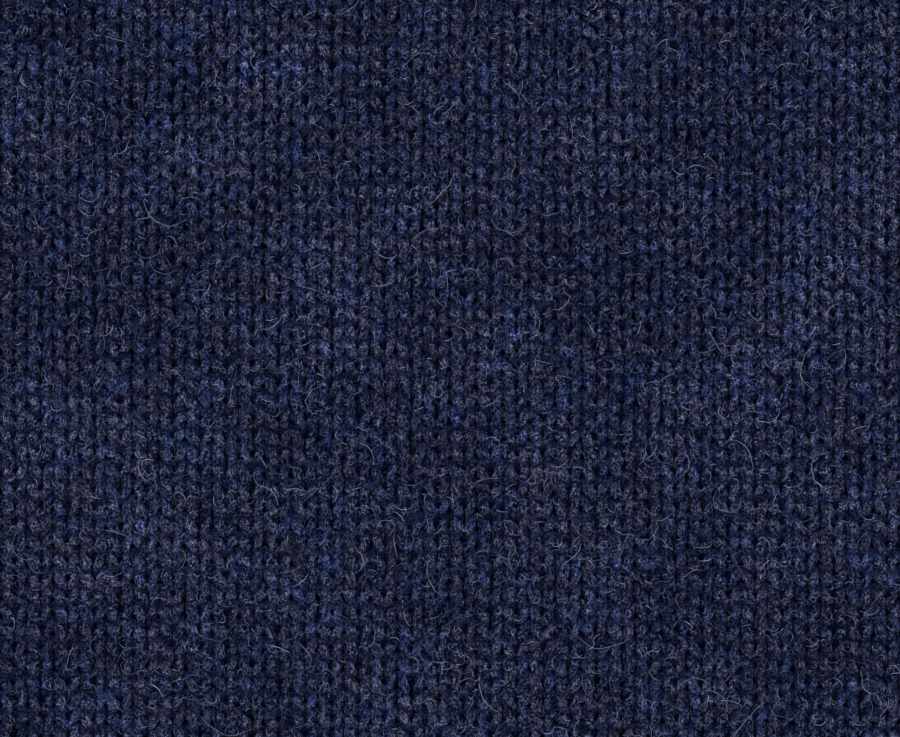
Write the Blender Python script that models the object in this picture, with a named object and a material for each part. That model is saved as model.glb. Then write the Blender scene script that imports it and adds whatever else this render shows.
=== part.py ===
"""Zip-neck sweater in heathered navy wool, laid flat with its front up.

Metres. +Z is up, +Y runs from the hem to the collar, and +X is the wearer's left.
The cloth is a wall of even thickness. The back lies flat on the surface, and the front
lies on the back and rounds down to meet it along the folded edges of the garment:
the side seams, the arms, the shoulders and the sides of the collar.
"""

import math

import bmesh
import bpy
import numpy as np
from mathutils import Vector

# Cloth
WALL = 0.0024  # thickness of the knitted cloth
FOLD_RADIUS = 0.0040  # outer radius where the cloth turns from front to back
MIDDLE_DROP = 0.0022  # how far the front sinks towards the back, away from a fold
DROP_REACH = 0.022  # over this distance from the fold
LIFT_REACH = 0.014  # creases rise to their height over this distance from the fold
SEAM = 0.0003  # gap between two pieces that are sewn together
RIB_HEIGHT = 0.0008  # how far a knitted rib stands above the band

# Body
HEM_RIB = 0.065  # height of the ribbed hem
UNDERARM_HEIGHT = 0.430
HALF_CHEST = 0.270
HALF_SHOULDERS = 0.225
SHOULDER_TIP_HEIGHT = 0.640
HALF_NECK = 0.088
NECK_HEIGHT = 0.680  # where the shoulder seam meets the collar
FRONT_NECK_HEIGHT = 0.622
BACK_NECK_HEIGHT = 0.662

# Collar
COLLAR_SIDE_HEIGHT = 0.746
HALF_COLLAR_TOP = 0.092
COLLAR_FRONT_TOP = 0.697
COLLAR_BACK_TOP = 0.740

# Sleeves
SLEEVE_END_WIDTH = 0.098
CUFF_WIDTH = 0.086
CUFF_LENGTH = 0.070

# Zip
SLIT_HALF_WIDTH = 0.0050
SLIT_END_HEIGHT = 0.452
ZIP_LIFT = 0.00325  # the tape and teeth hold the front this far up
ZIP_RIDGE_FLAT = 0.017  # half width of the stretch that lies on the tape
ZIP_RIDGE_REACH = 0.056  # half width at which the front is down again
ZIP_RIDGE_START = SLIT_END_HEIGHT - 0.016
ZIP_RIDGE_FADE = 0.055  # the ridge sinks over this length below its start
TAPE_THICKNESS = 0.0007
TAPE_INNER = 0.0031
TAPE_OUTER = 0.0150
CHAIN_HALF_WIDTH = 0.0028
CHAIN_THICKNESS = 0.0024

# Everything is drawn from the hem up, and then moved so that the origin is under the middle
MIDDLE_HEIGHT = COLLAR_SIDE_HEIGHT / 2

# Ribs across the knitted bands
HEM_RIBS = 42
CUFF_RIBS = 10
NECK_PIECES = 6  # straight pieces of each half of the front neck's seam
COLLAR_RIBS = 2  # on each of those pieces

# Outline of the wearer's left half, as points that a smooth line passes through
SIDE_LINE = [  # half width, height
    (0.239, 0.000),
    (0.236, 0.038),
    (0.245, HEM_RIB),
    (0.257, 0.090),
    (0.264, 0.150),
    (0.268, 0.290),
    (HALF_CHEST, UNDERARM_HEIGHT),
]
COLLAR_SIDE = [  # half width, height
    (HALF_NECK, NECK_HEIGHT),
    (0.0895, 0.712),
    (HALF_COLLAR_TOP, COLLAR_SIDE_HEIGHT),
]
ARMHOLE = [  # half width, height
    (HALF_CHEST, UNDERARM_HEIGHT),
    (0.250, 0.470),
    (0.232, 0.522),
    (0.221, 0.580),
    (HALF_SHOULDERS, SHOULDER_TIP_HEIGHT),
]
OVERARM = [  # half width, height
    (HALF_SHOULDERS, SHOULDER_TIP_HEIGHT),
    (0.296, 0.607),
    (0.366, 0.548),
    (0.434, 0.466),
    (0.496, 0.380),
    (0.553, 0.295),
    (0.606, 0.214),
]
FRONT_NECK = [  # half width, height
    (SLIT_HALF_WIDTH, FRONT_NECK_HEIGHT),
    (0.030, 0.626),
    (0.055, 0.641),
    (0.075, 0.661),
    (HALF_NECK, NECK_HEIGHT),
]
BACK_NECK = [  # half width, height
    (0.000, BACK_NECK_HEIGHT),
    (0.035, 0.664),
    (0.065, 0.670),
    (HALF_NECK, NECK_HEIGHT),
]

# Creases of the front and the sleeves. Positive half widths are the wearer's left
CREASES = [  # start across, start up, end across, end up, half width, height
    (0.250, 0.452, 0.140, 0.372, 0.030, 0.0055),
    (0.262, 0.392, 0.178, 0.292, 0.026, 0.0040),
    (-0.246, 0.456, -0.128, 0.352, 0.032, 0.0048),
    (-0.262, 0.372, -0.190, 0.300, 0.024, 0.0034),
    (0.205, 0.585, 0.120, 0.505, 0.028, 0.0030),
    (-0.208, 0.600, -0.132, 0.528, 0.026, 0.0036),
    (0.215, 0.205, 0.130, 0.150, 0.030, 0.0036),
    (-0.222, 0.240, -0.120, 0.165, 0.034, 0.0042),
    (-0.060, 0.128, 0.045, 0.150, 0.026, 0.0026),
    (0.268, 0.440, 0.372, 0.452, 0.028, 0.0058),
    (0.318, 0.388, 0.420, 0.392, 0.026, 0.0046),
    (0.392, 0.318, 0.468, 0.338, 0.024, 0.0038),
    (0.448, 0.252, 0.540, 0.286, 0.024, 0.0036),
    (-0.270, 0.446, -0.356, 0.470, 0.030, 0.0052),
    (-0.326, 0.380, -0.442, 0.402, 0.027, 0.0050),
    (-0.420, 0.288, -0.492, 0.318, 0.023, 0.0034),
    (-0.486, 0.214, -0.560, 0.246, 0.022, 0.0040),
    (0.262, 0.600, 0.352, 0.520, 0.026, 0.0030),
    (-0.256, 0.612, -0.344, 0.548, 0.028, 0.0034),
]
HEM_ROLL_HEIGHT = 0.0034  # the body blouses over the ribbed hem
HEM_ROLL_UP = 0.091
HEM_ROLL_REACH = 0.034
CUFF_ROLL_HEIGHT = 0.0030  # and the sleeve over its cuff
CUFF_ROLL_BACK = 0.022  # how far above the cuff's seam
CUFF_ROLL_REACH = 0.028

# Where the walls are drawn: heights between the hem rib and the underarm
FRONT_ROWS = [0.073, 0.084, 0.100, 0.122, 0.152, 0.188, 0.228, 0.270, 0.312, 0.350, 0.382, 0.408]
BACK_ROWS = [0.090, 0.150, 0.230, 0.310, 0.380]
HEM_RIB_ROWS = [0.0, 0.030, HEM_RIB - SEAM / 2]
SLEEVE_STATIONS = [  # shares of the way from armhole to cuff
    0.0, 0.035, 0.080, 0.130, 0.185, 0.245, 0.310, 0.380,
    0.455, 0.530, 0.605, 0.680, 0.755, 0.825, 0.885, 0.930, 0.970, 1.0,
]  # fmt: skip
CAP_REACH = 0.40  # share of the sleeve over which the armhole's curve straightens out
COLLAR_ROWS = [0.0, 0.35, 0.70, 1.0]  # shares of the collar's height


def unit(vector):
    return vector / np.linalg.norm(vector)


def smooth_line(corners, steps=8):
    """Points on a Catmull-Rom line through the corners."""
    p = [np.array(c, float) for c in corners]
    p = [2 * p[0] - p[1], *p, 2 * p[-1] - p[-2]]
    line = []
    for a, b, c, d in zip(p, p[1:], p[2:], p[3:]):
        for k in range(steps):
            t = k / steps
            line.append(
                0.5
                * (
                    2 * b
                    + (c - a) * t
                    + (2 * a - 5 * b + 4 * c - d) * t**2
                    + (3 * b - a - 3 * c + d) * t**3
                )
            )
    return np.array([*line, p[-2]])


class Line:
    """A line across the surface that can be read at a distance along it."""

    def __init__(self, points):
        self.points = np.array(points, float)
        steps = np.linalg.norm(np.diff(self.points, axis=0), axis=1)
        self.along = np.concatenate([[0.0], np.cumsum(steps)])
        self.length = self.along[-1]

    def at(self, distance):
        return np.array([np.interp(distance, self.along, self.points[:, k]) for k in (0, 1)])

    def share(self, t):
        return self.at(t * self.length)

    def direction(self, distance):
        half = 0.002
        low, high = max(0.0, distance - half), min(self.length, distance + half)
        return unit(self.at(high) - self.at(low))

    def beside(self, distance, offset):
        """A point to the left of the line, or to its right where the offset is negative."""
        along = self.direction(distance)
        return self.at(distance) + offset * np.array([-along[1], along[0]])

    def across_at(self, height):
        """How far out the line is at a height."""
        return float(np.interp(height, self.points[:, 1], self.points[:, 0]))


# Distances from a fold at which its rounding is drawn
ROUNDING = [0.0, 0.14 * FOLD_RADIUS, 0.5 * FOLD_RADIUS, FOLD_RADIUS]


def seam_line(corners, pieces, folded_start):
    """A seam as short straight pieces, whose corners both of its pieces of cloth share.

    It ends on a folded edge of the garment, and starts on one too where folded_start is set.
    """
    fine = Line(smooth_line(corners))
    start = ROUNDING if folded_start else [0.0]
    first, last = start[-1], fine.length - ROUNDING[-1]
    between = [first + (last - first) * k / pieces for k in range(1, pieces)]
    ends = [fine.length - e for e in reversed(ROUNDING)]
    return Line([fine.at(d) for d in (*start, *between, *ends)])


SIDE = Line(smooth_line(SIDE_LINE))
SHOULDER = Line([(HALF_NECK, NECK_HEIGHT), (HALF_SHOULDERS, SHOULDER_TIP_HEIGHT)])
COLLAR_FOLD = Line(smooth_line(COLLAR_SIDE))
OVERARM_FOLD = Line(smooth_line(OVERARM))
ARMHOLE_CURVE = Line(smooth_line(ARMHOLE))
FRONT_ARMHOLE = seam_line(ARMHOLE, 11, True)
BACK_ARMHOLE = seam_line(ARMHOLE, 7, True)
FRONT_NECK_SEAM = seam_line(FRONT_NECK, NECK_PIECES, False)
BACK_NECK_SEAM = seam_line(BACK_NECK, 5, False)

# The sleeve ends square to the arm, and the cuff carries on in the same direction
SLEEVE_DIRECTION = OVERARM_FOLD.direction(OVERARM_FOLD.length)
SLEEVE_ACROSS = np.array([SLEEVE_DIRECTION[1], -SLEEVE_DIRECTION[0]])  # towards the body
SLEEVE_END_OUTER = OVERARM_FOLD.share(1.0)
SLEEVE_END_INNER = SLEEVE_END_OUTER + SLEEVE_END_WIDTH * SLEEVE_ACROSS
UNDERARM = [  # half width, height
    (HALF_CHEST, UNDERARM_HEIGHT),
    (0.334, 0.372),
    (0.402, 0.301),
    (0.462, 0.238),
    SLEEVE_END_INNER - 0.030 * SLEEVE_DIRECTION,
    SLEEVE_END_INNER,
]
UNDERARM_FOLD = Line(smooth_line(UNDERARM))
CUFF_TAPER = (SLEEVE_END_WIDTH - CUFF_WIDTH) / 2


def cuff_corner(outer, along, narrowing):
    """A point on the cuff's outer or inner fold, so far past the sleeve's end."""
    start, side = (SLEEVE_END_OUTER, 1.0) if outer else (SLEEVE_END_INNER, -1.0)
    return start + along * SLEEVE_DIRECTION + side * narrowing * SLEEVE_ACROSS


CUFF_ROWS = [  # distance along the cuff, how far each fold is drawn in
    (SEAM / 2, 0.0),
    (0.004, 0.0),
    (0.020, 0.8 * CUFF_TAPER),
    (0.045, CUFF_TAPER),
    (CUFF_LENGTH, 0.8 * CUFF_TAPER),
]
FOLD_LINES = [
    SIDE.points,
    UNDERARM_FOLD.points,
    OVERARM_FOLD.points,
    SHOULDER.points,
    COLLAR_FOLD.points,
    np.array([cuff_corner(True, a, n) for a, n in CUFF_ROWS]),
    np.array([cuff_corner(False, a, n) for a, n in CUFF_ROWS]),
]
# Which way is inwards from each line above, as it is drawn: 1 is to its left
INWARDS = [1, 1, -1, -1, 1, -1, 1]
SEGMENT_START = np.concatenate([line[:-1] for line in FOLD_LINES])
SEGMENT_STEP = np.concatenate([np.diff(line, axis=0) for line in FOLD_LINES])
SEGMENT_SIDE = np.concatenate([[s] * (len(line) - 1) for s, line in zip(INWARDS, FOLD_LINES)])
SEGMENT_INWARD = SEGMENT_STEP[:, ::-1] * [-1, 1] * SEGMENT_SIDE[:, None]
SEGMENT_INWARD /= np.linalg.norm(SEGMENT_INWARD, axis=1)[:, None]
ON_FOLD = 0.00001  # a point this near a fold is on it


def fold_distance(x, y):
    """The distance from a point to the nearest folded edge, and the way inwards from there."""
    mirrored = -1.0 if x < 0 else 1.0
    away = np.array([abs(x), y]) - SEGMENT_START
    length = (SEGMENT_STEP**2).sum(axis=1)
    t = np.clip((away * SEGMENT_STEP).sum(axis=1) / length, 0.0, 1.0)
    offset = away - t[:, None] * SEGMENT_STEP
    gap = np.linalg.norm(offset, axis=1)
    k = int(gap.argmin())
    if gap[k] > ON_FOLD:
        inward = offset[k] / gap[k]
    else:
        inward = unit(SEGMENT_INWARD[gap < 2 * ON_FOLD].mean(axis=0))
    return float(gap[k]), (mirrored * inward[0], inward[1])


def smooth_step(t):
    t = min(1.0, max(0.0, t))
    return t * t * (3 - 2 * t)


def bell(t):
    return (1 - t * t) ** 2 if abs(t) < 1 else 0.0


def crease_lift(x, y):
    """The height of the creases at a point."""
    lift = 0.0
    for x0, y0, x1, y1, half_width, height in CREASES:
        run = np.array([x1 - x0, y1 - y0])
        length = np.linalg.norm(run)
        across = ((x - x0) * run[1] - (y - y0) * run[0]) / length
        t = ((x - x0) * run[0] + (y - y0) * run[1]) / length**2
        if abs(across) < half_width and -0.2 < t < 1.2:
            lift += height * bell(across / half_width) * bell((t - 0.5) / 0.7)
    return lift


def zip_lift(x, y):
    """How far the zip under the front holds it up."""
    sideways = (abs(x) - ZIP_RIDGE_FLAT) / (ZIP_RIDGE_REACH - ZIP_RIDGE_FLAT)
    below = (ZIP_RIDGE_START - y) / ZIP_RIDGE_FADE
    return ZIP_LIFT * (1 - smooth_step(sideways)) * (1 - smooth_step(below))


def sleeve_seam_distance(x, y):
    """How far a point is above the seam between the sleeve and its cuff."""
    away = np.array([abs(x), y]) - SLEEVE_END_OUTER
    return -float(away @ SLEEVE_DIRECTION)


def front_lift(x, y, distance):
    """How far the upper layer of cloth stands above its flat height."""
    lift = crease_lift(x, y) + zip_lift(x, y)
    if abs(x) < HALF_CHEST and y < UNDERARM_HEIGHT:
        lift += HEM_ROLL_HEIGHT * bell((y - HEM_ROLL_UP) / HEM_ROLL_REACH)
    if abs(x) > HALF_CHEST:
        above = sleeve_seam_distance(x, y)
        lift += CUFF_ROLL_HEIGHT * bell((above - CUFF_ROLL_BACK) / CUFF_ROLL_REACH)
    return lift * smooth_step((distance - 0.5 * FOLD_RADIUS) / LIFT_REACH)


def cloth(x, y, upper, sewn=0.0, rib=0.0):
    """The outer and inner points of the wall at a point of the plan.

    sewn is the gap below or above the plane of a seam that runs along the fold.
    """
    distance, inward = fold_distance(x, y)
    flat = min(1.0, distance / FOLD_RADIUS)  # 0 on the fold, 1 past the rounding
    lean = 1.0 - flat
    rise = math.sqrt(1.0 - lean * lean)
    outer_z = sewn / 2 + (FOLD_RADIUS - sewn / 2) * rise
    inner_z = sewn / 2 + (FOLD_RADIUS - WALL - sewn / 2) * rise
    inner_x = x + WALL * lean * inward[0]
    inner_y = y + WALL * lean * inward[1]
    if upper:
        sink = MIDDLE_DROP * smooth_step((distance - FOLD_RADIUS) / DROP_REACH)
        lift = front_lift(x, y, distance) - sink
        outer_z = FOLD_RADIUS + outer_z + lift
        inner_z = FOLD_RADIUS + inner_z + lift
    else:
        outer_z = FOLD_RADIUS - outer_z
        inner_z = FOLD_RADIUS - inner_z
    outer = Vector((x + rib * lean * -inward[0], y + rib * lean * -inward[1], outer_z))
    outer.z += rib * rise if upper else 0.0
    return outer, Vector((inner_x, inner_y, inner_z))


def material(name, colour, roughness, metallic=0.0):
    made = bpy.data.materials.get(name) or bpy.data.materials.new(name)
    made.use_nodes = True
    shader = made.node_tree.nodes["Principled BSDF"]
    shader.inputs["Base Color"].default_value = (*colour, 1.0)
    shader.inputs["Roughness"].default_value = roughness
    shader.inputs["Metallic"].default_value = metallic
    return made


def add_object(name, mesh, finish):
    made = bpy.data.objects.new(name, mesh)
    made.data.materials.clear()
    made.data.materials.append(finish)
    bpy.data.collections["zip_neck_sweater"].objects.link(made)
    return made


def add_wall(name, patches, finish):
    """A closed wall of cloth from patches, each a list of rows of (outer, inner) points.

    Points of two patches that meet are made one, and every free edge gets a rim. A square
    between the rows is split along its higher diagonal, so that the cloth bridges what it
    lies on.
    """
    numbers, places, faces = {}, [], []

    def number(pair):
        key = tuple(round(c, 7) for c in (*pair[0], *pair[1]))
        if key not in numbers:
            numbers[key] = len(places)
            places.append(pair)
        return numbers[key]

    for rows in patches:
        named = [[number(pair) for pair in row] for row in rows]
        for low, high in zip(named, named[1:]):
            for a, b, c, d in zip(low, low[1:], high[1:], high):
                z = [places[n][0].z for n in (a, b, c, d)]
                if z[0] + z[2] > z[1] + z[3]:
                    split = [(a, b, c), (a, c, d)]
                else:
                    split = [(a, b, d), (b, c, d)]
                faces += [face for face in split if len(set(face)) == 3]
    edges = {(a, b) for face in faces for a, b in zip(face, face[1:] + face[:1])}
    mesh = bmesh.new()
    outer = [mesh.verts.new(Vector(pair[0]) - Vector((0, MIDDLE_HEIGHT, 0))) for pair in places]
    inner = [mesh.verts.new(Vector(pair[1]) - Vector((0, MIDDLE_HEIGHT, 0))) for pair in places]
    for face in faces:
        mesh.faces.new([outer[c] for c in face])
        mesh.faces.new([inner[c] for c in reversed(face)])
    for a, b in sorted(edges):
        if (b, a) not in edges:
            mesh.faces.new([outer[b], outer[a], inner[a], inner[b]])
    bmesh.ops.recalc_face_normals(mesh, faces=mesh.faces)
    data = bpy.data.meshes.new(name)
    mesh.to_mesh(data)
    mesh.free()
    data.shade_smooth()
    data.set_sharp_from_angle(angle=math.radians(50))
    return add_object(name, data, finish)


def spread(low, high, pieces):
    """The places between low and high that divide it into equal pieces."""
    return [low + (high - low) * k / pieces for k in range(1, pieces)]


def body_row(inner, outer, near_centre, spans, edge):
    """Points of a row of the body, from the centre or neck out to the side or armhole."""
    length = np.linalg.norm(outer - inner)
    between = spread(near_centre[-1], length - edge[-1], spans)
    stops = [*near_centre, *between, *(length - e for e in reversed(edge))]
    return [inner + (outer - inner) * (s / length) for s in stops]


def body_stations(rows, centre, neck, armhole):
    """The inner and outer ends of each row of half a body panel, from the hem rib up.

    centre holds the inner ends between the underarm and the neck. Each corner of the
    neck's and of the armhole's seam has a row.
    """
    below = [HEM_RIB + SEAM / 2, *rows, UNDERARM_HEIGHT - SEAM]
    stations = [(np.array([0.0, y]), np.array([SIDE.across_at(y), y])) for y in below]
    inner = [np.array(c) for c in centre]
    inner += [neck.beside(d, -SEAM / 2) for d in neck.along[:-1]]
    outer = [armhole.beside(d, SEAM / 2) for d in armhole.along[1:-1]]
    stations += zip(inner, outer, strict=True)
    stations.append((SHOULDER.at(SEAM / 2), SHOULDER.at(SHOULDER.length - SEAM / 2)))
    return stations


def body_panel(name, upper, stations, near_centre, spans, edge, finish):
    """The front or the back, as a left and a right half that join below the slit."""
    patches = []
    for side in (1, -1):
        patch = []
        for inner, outer in stations:
            points = body_row(inner, outer, near_centre, spans, edge)
            patch.append([cloth(side * p[0], p[1], upper, sewn=SEAM) for p in points])
        patches.append(patch if side > 0 else [row[::-1] for row in patch])
    add_wall(name, patches, finish)


def build_front(finish):
    slit = [
        (0.0, SLIT_END_HEIGHT),
        (0.7 * SLIT_HALF_WIDTH, SLIT_END_HEIGHT + 0.0025),
        (SLIT_HALF_WIDTH, SLIT_END_HEIGHT + 0.0065),
    ]
    slit += [(SLIT_HALF_WIDTH, y) for y in spread(slit[-1][1], FRONT_NECK_HEIGHT, 5)]
    stations = body_stations(FRONT_ROWS, slit, FRONT_NECK_SEAM, FRONT_ARMHOLE)
    edge = [*ROUNDING, 0.012, 0.026]
    body_panel("front", True, stations, [0.0, 0.016, 0.034], 4, edge, finish)


def build_back(finish):
    centre = [(0.0, y) for y in spread(UNDERARM_HEIGHT, BACK_NECK_HEIGHT, 5)]
    stations = body_stations(BACK_ROWS, centre, BACK_NECK_SEAM, BACK_ARMHOLE)
    body_panel("back", False, stations, [0.0], 3, ROUNDING, finish)


def rib_stops(length, count, margin):
    """Places across a band and the height of its ribs there: four for each rib.

    margin is the plain stretch at each end.
    """
    pitch = (length - 2 * margin) / count
    stops = []
    for k in range(count):
        middle = margin + (k + 0.5) * pitch
        for shift, height in ((-0.36, 0.0), (-0.17, RIB_HEIGHT), (0.17, RIB_HEIGHT), (0.36, 0.0)):
            stops.append((middle + shift * pitch, height))
    return stops


def build_hem_ribs(finish):
    """The ribbed hem: the front's band has its ribs raised, and the back's is flat below."""
    for name, upper in (("rib_hem_front", True), ("rib_hem_back", False)):
        patch = []
        for height in HEM_RIB_ROWS:
            width = 2 * SIDE.across_at(height)
            near = [(e, 0.0) for e in ROUNDING]
            far = [(width - e, 0.0) for e in reversed(ROUNDING)]
            if upper:
                across = rib_stops(width, HEM_RIBS, FOLD_RADIUS)
            else:
                across = [(place, 0.0) for place in spread(FOLD_RADIUS, width - FOLD_RADIUS, 7)]
            row = [*near, *across, *far]
            patch.append(
                [cloth(place - width / 2, height, upper, sewn=SEAM, rib=r) for place, r in row]
            )
        add_wall(name, [patch], finish)


def crossing(fold, ring_direction):
    """The sine of the angle between a fold and a ring that ends on it."""
    cross = fold[0] * ring_direction[1] - fold[1] * ring_direction[0]
    return max(0.35, abs(float(cross)))


def ring(top, bottom, mirrored):
    """A flattened ring of a sleeve or a cuff, as points of its wall.

    top and bottom hold the plan's points and the height of a rib there, from the inner
    fold to the outer one. Both start and end on the folds.
    """
    points = [cloth(mirrored * p[0], p[1], True, rib=rib) for p, rib in top]
    points += [cloth(mirrored * p[0], p[1], False) for p, _ in bottom[-2:0:-1]]
    return [*points, points[0]]


def sleeve_point(t, s):
    """A point of the sleeve's plan: t from armhole to cuff, s from inner to outer fold."""
    straight = (1 - s) * UNDERARM_FOLD.share(t) + s * OVERARM_FOLD.share(t)
    chord = (1 - s) * ARMHOLE_CURVE.share(0.0) + s * ARMHOLE_CURVE.share(1.0)
    keep = max(0.0, 1 - t / CAP_REACH) ** 2
    return straight + keep * (ARMHOLE_CURVE.share(s) - chord)


def sleeve_side(t, armhole):
    """One layer of a ring of the sleeve, with as many points as the armhole has corners."""
    if t == 0.0:
        seam = [armhole.beside(d, -SEAM / 2) for d in armhole.along[1:-1]]
        return [UNDERARM_FOLD.at(SEAM), *seam, OVERARM_FOLD.at(SEAM / 2)]
    if t == 1.0:
        back_off = -SEAM / 2 * SLEEVE_DIRECTION
    else:
        back_off = np.zeros(2)
    inner, outer = sleeve_point(t, 0.0), sleeve_point(t, 1.0)
    length = np.linalg.norm(outer - inner)
    at_inner = crossing(
        UNDERARM_FOLD.direction(t * UNDERARM_FOLD.length), unit(sleeve_point(t, 0.03) - inner)
    )
    at_outer = crossing(
        OVERARM_FOLD.direction(t * OVERARM_FOLD.length), unit(outer - sleeve_point(t, 0.97))
    )
    start = [e / at_inner / length for e in ROUNDING]
    end = [1 - e / at_outer / length for e in reversed(ROUNDING)]
    pieces = len(armhole.along) - len(start) - len(end) + 1
    shares = [*start, *spread(start[-1], end[0], pieces), *end]
    return [sleeve_point(t, s) + back_off for s in shares]


def build_sleeve(name, mirrored, finish):
    patch = []
    for t in SLEEVE_STATIONS:
        top = [(p, 0.0) for p in sleeve_side(t, FRONT_ARMHOLE)]
        bottom = [(p, 0.0) for p in sleeve_side(t, BACK_ARMHOLE)]
        patch.append(ring(top, bottom, mirrored))
    add_wall(name, [patch], finish)


def build_cuff(name, mirrored, finish):
    patch = []
    for along, narrowing in CUFF_ROWS:
        inner = cuff_corner(False, along, narrowing)
        outer = cuff_corner(True, along, narrowing)
        width = np.linalg.norm(outer - inner)
        near = [(e, 0.0) for e in ROUNDING]
        far = [(width - e, 0.0) for e in reversed(ROUNDING)]
        plain = [(place, 0.0) for place in spread(FOLD_RADIUS, width - FOLD_RADIUS, 5)]
        sides = []
        for across in (rib_stops(width, CUFF_RIBS, FOLD_RADIUS), plain):
            row = [*near, *across, *far]
            sides.append([(inner + (outer - inner) * (s / width), r) for s, r in row])
        patch.append(ring(*sides, mirrored))
    add_wall(name, [patch], finish)


def collar_point(front, distance, row):
    """A point of the collar's plan, from a distance along the neck's seam and a row's share.

    The seam runs from the zip, or from the middle of the back, to the collar's side fold.
    """
    seam = FRONT_NECK_SEAM if front else BACK_NECK_SEAM
    across = distance / seam.length
    if across == 1.0:
        up = NECK_HEIGHT + SEAM / 2
        up += (COLLAR_SIDE_HEIGHT - up) * row
        return np.array([COLLAR_FOLD.across_at(up), up])
    base = seam.beside(distance, SEAM / 2)
    if front:
        middle, middle_up, bend = SLIT_HALF_WIDTH, COLLAR_FRONT_TOP, 2.2
    else:
        middle, middle_up, bend = 0.0, COLLAR_BACK_TOP, 2.0
    top_across = middle + (HALF_COLLAR_TOP - middle) * across
    top_up = middle_up + (COLLAR_SIDE_HEIGHT - middle_up) * across**bend
    return (1 - row) * base + row * np.array([top_across, top_up])


def build_collar(finish):
    """One ribbed band, from the zip round the back of the neck and back to the zip."""
    corners = FRONT_NECK_SEAM.along
    front = [(d, 0.0) for d in corners]
    for start, end in zip(corners[:NECK_PIECES], corners[1:]):
        front += [(start + s, rib) for s, rib in rib_stops(end - start, COLLAR_RIBS, 0.0)]
    front.sort()
    back = [(d, 0.0) for d in reversed(BACK_NECK_SEAM.along[:-1])]
    patch = []
    for row in COLLAR_ROWS:
        half = [(collar_point(True, d, row), True, rib) for d, rib in front]
        half += [(collar_point(False, d, row), False, rib) for d, rib in back]
        whole = [cloth(p[0], p[1], upper, rib=rib) for p, upper, rib in half]
        whole += [cloth(-p[0], p[1], upper, rib=rib) for p, upper, rib in half[-2::-1]]
        patch.append(whole)
    add_wall("collar", [patch], finish)


# Zip: heights in the thickness of the garment
FRONT_INSIDE = 2 * FOLD_RADIUS - MIDDLE_DROP + ZIP_LIFT - WALL
TAPE_TOP = FRONT_INSIDE - SEAM
TAPE_MIDDLE = TAPE_TOP - TAPE_THICKNESS / 2
TAPE_START = SLIT_END_HEIGHT - 0.012
TAPE_END = COLLAR_FRONT_TOP - 0.002
METAL_EDGE = 0.0003  # width of the bevel on the small metal pieces
STOP_START = SLIT_END_HEIGHT + 0.0062
STOP_LENGTH = 0.0025
TOP_STOP_GAP = 0.0015  # from the slider
TOP_STOP_LENGTH = 0.0035
TOP_STOP_THICKNESS = 0.0013
SLIDER_LENGTH = 0.0110
SLIDER_HALF_WIDTH = 0.0045
SLIDER_TOP_END = COLLAR_FRONT_TOP - 0.0095
SLIDER_START = SLIDER_TOP_END - SLIDER_LENGTH
SLIDER_MIDDLE = SLIDER_TOP_END - SLIDER_LENGTH / 2
PLATE = 0.0012  # thickness of each of the slider's two plates
PLATE_EDGE = 0.0004
CHANNEL = CHAIN_THICKNESS / 2 + SEAM  # half height of the slider's channel
TURNED_EDGE_INSET = 0.0008  # the plates' turned edges stop this far from their ends
WEDGE_LENGTH = 0.0030
WEDGE_HALF_WIDTH = 0.0014
CHAIN_START = STOP_START + STOP_LENGTH + SEAM
CHAIN_END = SLIDER_TOP_END - WEDGE_LENGTH - SEAM
BRIDGE_REACH = 0.0032  # half its length
BRIDGE_HALF_WIDTH = 0.0009
BRIDGE_OPENING = 0.0024
BRIDGE_THICKNESS = 0.0010
BRIDGE_POST = 0.0011
INSET = 0.00015  # shapes that are joined lie this far inside each other's faces
AXIS_HEIGHT = TAPE_MIDDLE + CHANNEL + PLATE + BRIDGE_OPENING / 2
TAB_THICKNESS = 0.0013
TAB_LENGTH = 0.0270
TAB_WIDTH = 0.0068
TAB_NECK = 0.0056  # width beside the window
TAB_WINDOW = 0.0026
TAB_WINDOW_REACH = 0.0047  # past the furthest corner of the bridge
TAB_SHOULDER = (0.0055, 0.0093)  # where the tab widens, from the bar
TAB_TILT = math.radians(3.5)


def box(name, low, high, bevel=0.0):
    """A box between two corners, drawn from the hem up, with bevelled edges if asked."""
    mesh = bmesh.new()
    bmesh.ops.create_cube(mesh, size=1.0)
    low, high = Vector(low), Vector(high)
    size = high - low
    middle = (low + high) / 2 - Vector((0, MIDDLE_HEIGHT, 0))
    bmesh.ops.scale(mesh, vec=size, verts=mesh.verts)
    if bevel:
        bmesh.ops.bevel(mesh, geom=mesh.edges[:], offset=bevel, segments=1, affect="EDGES")
    bmesh.ops.translate(mesh, vec=middle, verts=mesh.verts)
    data = bpy.data.meshes.new(name)
    mesh.to_mesh(data)
    mesh.free()
    return data


def join(target, mesh):
    """Adds a mesh to a piece with a Boolean, from a hidden object."""
    other = bpy.data.objects.new(mesh.name, mesh)
    bpy.data.collections["cutters"].objects.link(other)
    other.hide_render = True
    other.display_type = "WIRE"
    modifier = target.modifiers.new(other.name, "BOOLEAN")
    modifier.operation = "UNION"
    modifier.object = other


def build_tapes(finish):
    for name, side in (("zip_tape_left", 1), ("zip_tape_right", -1)):
        across = sorted((side * TAPE_INNER, side * TAPE_OUTER))
        low = (across[0], TAPE_START, TAPE_TOP - TAPE_THICKNESS)
        add_object(name, box(name, low, (across[1], TAPE_END, TAPE_TOP)), finish)


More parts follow.
